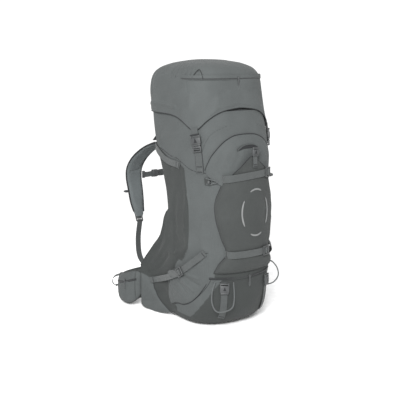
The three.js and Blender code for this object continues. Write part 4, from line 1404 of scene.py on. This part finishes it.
FOAM_THICKNESS = 16
BACK_BEND = 430
BACK_SLOPE = 0.33
BACK_OUT = unit((0, 1, -BACK_SLOPE))
BACK_UP = unit((0, BACK_SLOPE, 1))


def back_plane(z):
    """The flat face that the yoke lies on, leaning back above the bend."""
    return rear_at(BACK_BEND) + FOAM_THICKNESS + BACK_SLOPE * (z - BACK_BEND)


def add_back_foam():
    u, v = grid(80, 130, left=-1)
    z = 250 + 332 * v
    x = u * along([250, 400, 582], [104, 96, 84], z)
    face = np.where(z < BACK_BEND, rear_at(z) + FOAM_THICKNESS, back_plane(z))
    edge = np.minimum(1 - np.abs(u), from_edge(v) * 3)
    rib = 0.5 - 0.5 * np.cos(2 * math.pi * z / 22)
    middle = 1 - np.exp(-((x / 12) ** 2))
    groove = 3.4 * rib**4 * smooth(0.12, 0.2, edge) * middle + 4.0 * (1 - middle)
    groove = groove + 7 * (1 - rise(edge, 0.1))
    outer = np.stack([x, face - groove, z], -1)
    inner = np.stack([x, rear_at(z) - 0.5, z], -1)
    made = place(piece("back_foam_pad", sheet_between(outer, inner, MESH)), "bag", "back_foam")


def add_lumbar_pad():
    u, v = grid(50, 36, left=-1)
    z = 106 + 138 * v
    stations = [104, 118, 150, 180, 215, 236, 246]
    bulge = along(stations, [40, 56, 76, 74, 53, 24, 12], z) * (1 - 0.12 * u**4)
    x = 117 * u
    outer = np.stack([x, rear_at(z) + bulge, z], -1)
    inner = np.stack([x, rear_at(z) + np.maximum(2.0, bulge - 26), z], -1)
    made = piece("lumbar_pad_foam", sheet_between(outer, inner, MESH))
    inflate(made, cap=0.004)
    heights = np.linspace(112, 240, 16)
    face = rear_at(heights) + along(stations, [44, 60, 80, 78, 57, 28, 14], heights)
    lines = [np.stack([np.full(16, side * 38.0), face, heights], -1) for side in (-1, 1)]
    crease(made, [(line, 4.5, -5.0) for line in lines])
    place(made, "bag", "lumbar_pad")


def cushion_rings(width, length, thickness, corner):
    """Rings of a flat pad with rounded corners, its underside at z = 0."""
    rings = []
    turn = np.radians(np.arange(0, 360, 15))
    for y in np.linspace(-1, 1, 25) * (length / 2):
        past = max(0.0, abs(y) - (length / 2 - corner))
        half = width / 2 - corner + math.sqrt(max(corner**2 - past**2, 1.0))
        thin = thickness / 2 * rise(length / 2 - abs(y) + 0.6, 9)
        across = signed_power(np.cos(turn), 0.35) * half
        out = signed_power(np.sin(turn), 0.8) * thin
        rings.append(np.stack([across, np.full_like(turn, y), out + thickness / 2], -1))
    return np.array(rings)


def add_yoke():
    origin = np.array([0, back_plane(500), 500]) + BACK_OUT * 0.8
    pad = standing([loft(cushion_rings(122, 88, 6.5, 20), MESH)], origin, BACK_OUT, BACK_UP)
    made = piece("yoke_pad", pad)
    inflate(made, voxel=0.0035, cap=0.002)
    place(made, "yoke", "yoke")
    straps = [block((14, 84, 1.6), (x, 0, 7.6), 0.6, WEBBING) for x in (-30, 30)]
    rungs = [block((76, 5, 1.4), (0, y, 8.6), 0.6, BINDING_AND_SHADE) for y in (-30, -10, 10, 30)]
    place(piece("yoke_ladder", standing(straps + rungs, origin, BACK_OUT, BACK_UP)), "yoke")


STRAP_LINE = [(44, 62, 474), (50, 84, 510), (60, 122, 525), (72, 170, 508), (84, 217, 474), (92, 244, 436),
              (93, 250, 400), (93, 240, 358), (99, 220, 315), (104, 196, 275)]


def strap_frame(count):
    """Middle line, sideways and inward directions of the right shoulder strap, and its half widths."""
    line = curve(STRAP_LINE, count)
    run = unit(np.gradient(line, axis=0))
    across = unit(np.array((1.0, 0, 0)) - run * run[:, :1])
    half = along([0, 0.2, 0.5, 0.85, 1], [23, 31, 32, 27, 17], np.linspace(0, 1, count))
    return line, across, np.cross(run, across), half


def add_shoulder_straps():
    count = 90
    line, across, inward, half = strap_frame(count)
    s = np.linspace(0, 1, count)
    end = rise(from_edge(s) + 0.004, 0.04)[:, None]
    turn = np.radians(np.arange(0, 360, 12))
    rings = [
        line
        + across * (half * 0.96)[:, None] * signed_power(math.cos(a), 0.4) * (0.6 + 0.4 * end)
        + inward * 4.4 * end * signed_power(math.sin(a), 0.75)
        for a in turn
    ]
    right = piece("shoulder_pad_right", loft(np.stack(rings, 1), DARK_CLOTH_AND_SHADE))
    inflate(right, voxel=0.004, cap=0.0022)

    def inner_face(centre):
        nearest = np.argmin(np.linalg.norm(centre[:, None] - line[None, ::3], axis=2), axis=1)
        return inward[::3][nearest]

    paint_side(right, inner_face, EDGE_BAND)
    left = twin(right, "shoulder_pad_left")
    for side, made in (("right", right), ("left", left)):
        place(made, "strap_" + side, "shoulder_strap_" + side, "spacer_mesh")
    keep = slice(4, 86)
    edges = [tube((line + across * (half * sign)[:, None])[keep], 2.4, BINDING_AND_SHADE) for sign in (-0.92, 0.92)]
    hinge = curve([(44, 57, 461), (44, 61, 468), (47, 73, 488), (52, 90, 510)], 24)
    edges.append(ribbon(hinge + inward[0] * 1.0, (0, 1, -0.5), 38, DARK_CLOTH_AND_SHADE, 2.0))
    rail = line - inward * 7.6
    web = ribbon(rail[24:84], -inward[24:84], 18, thickness=1.4)
    lock = standing(ladder_lock(20), line[-1] - inward[-1] * 4, -inward[-1], line[-1] - line[-2])
    knob = standing(cord_lock(), (line + across * half[:, None])[70], across[70], (0, 0, 1))
    place_pair("shoulder_trim", [*edges, web, *lock, *knob], "strap_{side}")


def add_harness_webbing():
    """Load lifters from the yoke, and the adjusters from the hip belt up to the straps."""
    foot = [(54, back_plane(528) + 9.6, 528), (58, back_plane(546) + 9.4, 546)]
    lifter = curve([*foot, (64, back_plane(564) + 12, 566), (68, 112, 566), (71, 152, 532)], 40)
    tail = curve([(104, 195, 267), (112, 196, 200), (116, 178, 142), (114, 122, 112)], 40)
    for name, line, width, start, end in [
        ("load_lifter", lifter, 16, (68, 88, 570), (71, 150, 534)),
        ("lower_webbing", tail, 20, (114, 130, 114), (105, 195, 262)),
    ]:
        out = np.cross(np.gradient(line, axis=0), (1, 0, 0))
        web = [ribbon(line, out, width)]
        for side, sign in SIDES.items():
            made = place(piece(f"{name}_web_{side}", mirrored(web, sign)), None, f"{name}_{side}")
            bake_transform(made)


def add_sternum_strap():
    y, z = 249, 405
    out = (0, 1, 0)
    shell = standing(buckle_socket(25, 26, 7.5), np.array([-7, y - 0.5, z]), out, (-1, 0, 0))
    for side, sign in SIDES.items():
        line = curve([(sign * 59, y, z), (sign * 40, y + 1, z - 1.5), (sign * 13, y + 1.6, z)], 20)
        runner = standing([block((24, 9, 6), (0, 0, -3))], np.array([sign * 55, y, z]), out, (1, 0, 0))
        shapes = [ribbon(line, out, 18), *runner] + (shell if side == "left" else [])
        place(piece("sternum_web_" + side, shapes), "sternum", "sternum_strap_" + side)
    plug = standing(buckle_plug(22, 5.5), np.array([15, y + 1.6, z]), out, (-1, 0, 0))
    place(piece("sternum_clip", plug), "sternum_plug", "sternum_plug")


def add_haul_loop():
    turn = np.radians(np.arange(0, 360, 6))
    x = 37.5 * signed_power(np.cos(turn), 0.45)
    z = 606 + 14 * signed_power(np.sin(turn), 0.45)
    line = np.stack([x, np.full_like(x, 84.0), z], -1)
    shapes = [tube(line, 3.6, WEBBING, 12, closed=True)]
    for side in (-1, 1):
        foot = [(side * 30, 88, 594), (side * 30, 84, 582), (side * 30, rear_at(562) + 6, 566),
                (side * 30, rear_at(548) + 1, 548)]
        shapes.append(ribbon(curve(foot, 24), (0, 1, 0.3), 18))
    place(piece("haul_handle", shapes), "bag", "haul_loop")


def add_inner_parts():
    """CAD nodes that stay as they are get their finish."""
    for name, finish in {"frame_wire": WIRE, "compartment_divider": LINING}.items():
        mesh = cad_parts[name].data
        mesh.materials.clear()
        mesh.materials.append(finish)


def main():
    add_camera()
    add_axe_loops()
    add_studio()
    add_bag()
    add_collar()
    add_dome()
    add_stash_opening_shade()
    add_stretch_pocket()
    add_oval_print()
    add_piping()
    add_lid()
    add_lid_floor()
    add_zips()
    add_lid_buckles()
    add_front_straps()
    add_pocket_closure()
    add_tie_offs()
    add_side_pockets()
    add_side_straps()
    add_pad_straps()
    add_wings()
    add_belt_pockets()
    add_belt_webbing()
    add_fairings()
    add_back_foam()
    add_lumbar_pad()
    add_yoke()
    add_shoulder_straps()
    add_harness_webbing()
    add_sternum_strap()
    add_haul_loop()
    add_inner_parts()
    bpy.context.view_layer.update()


main()
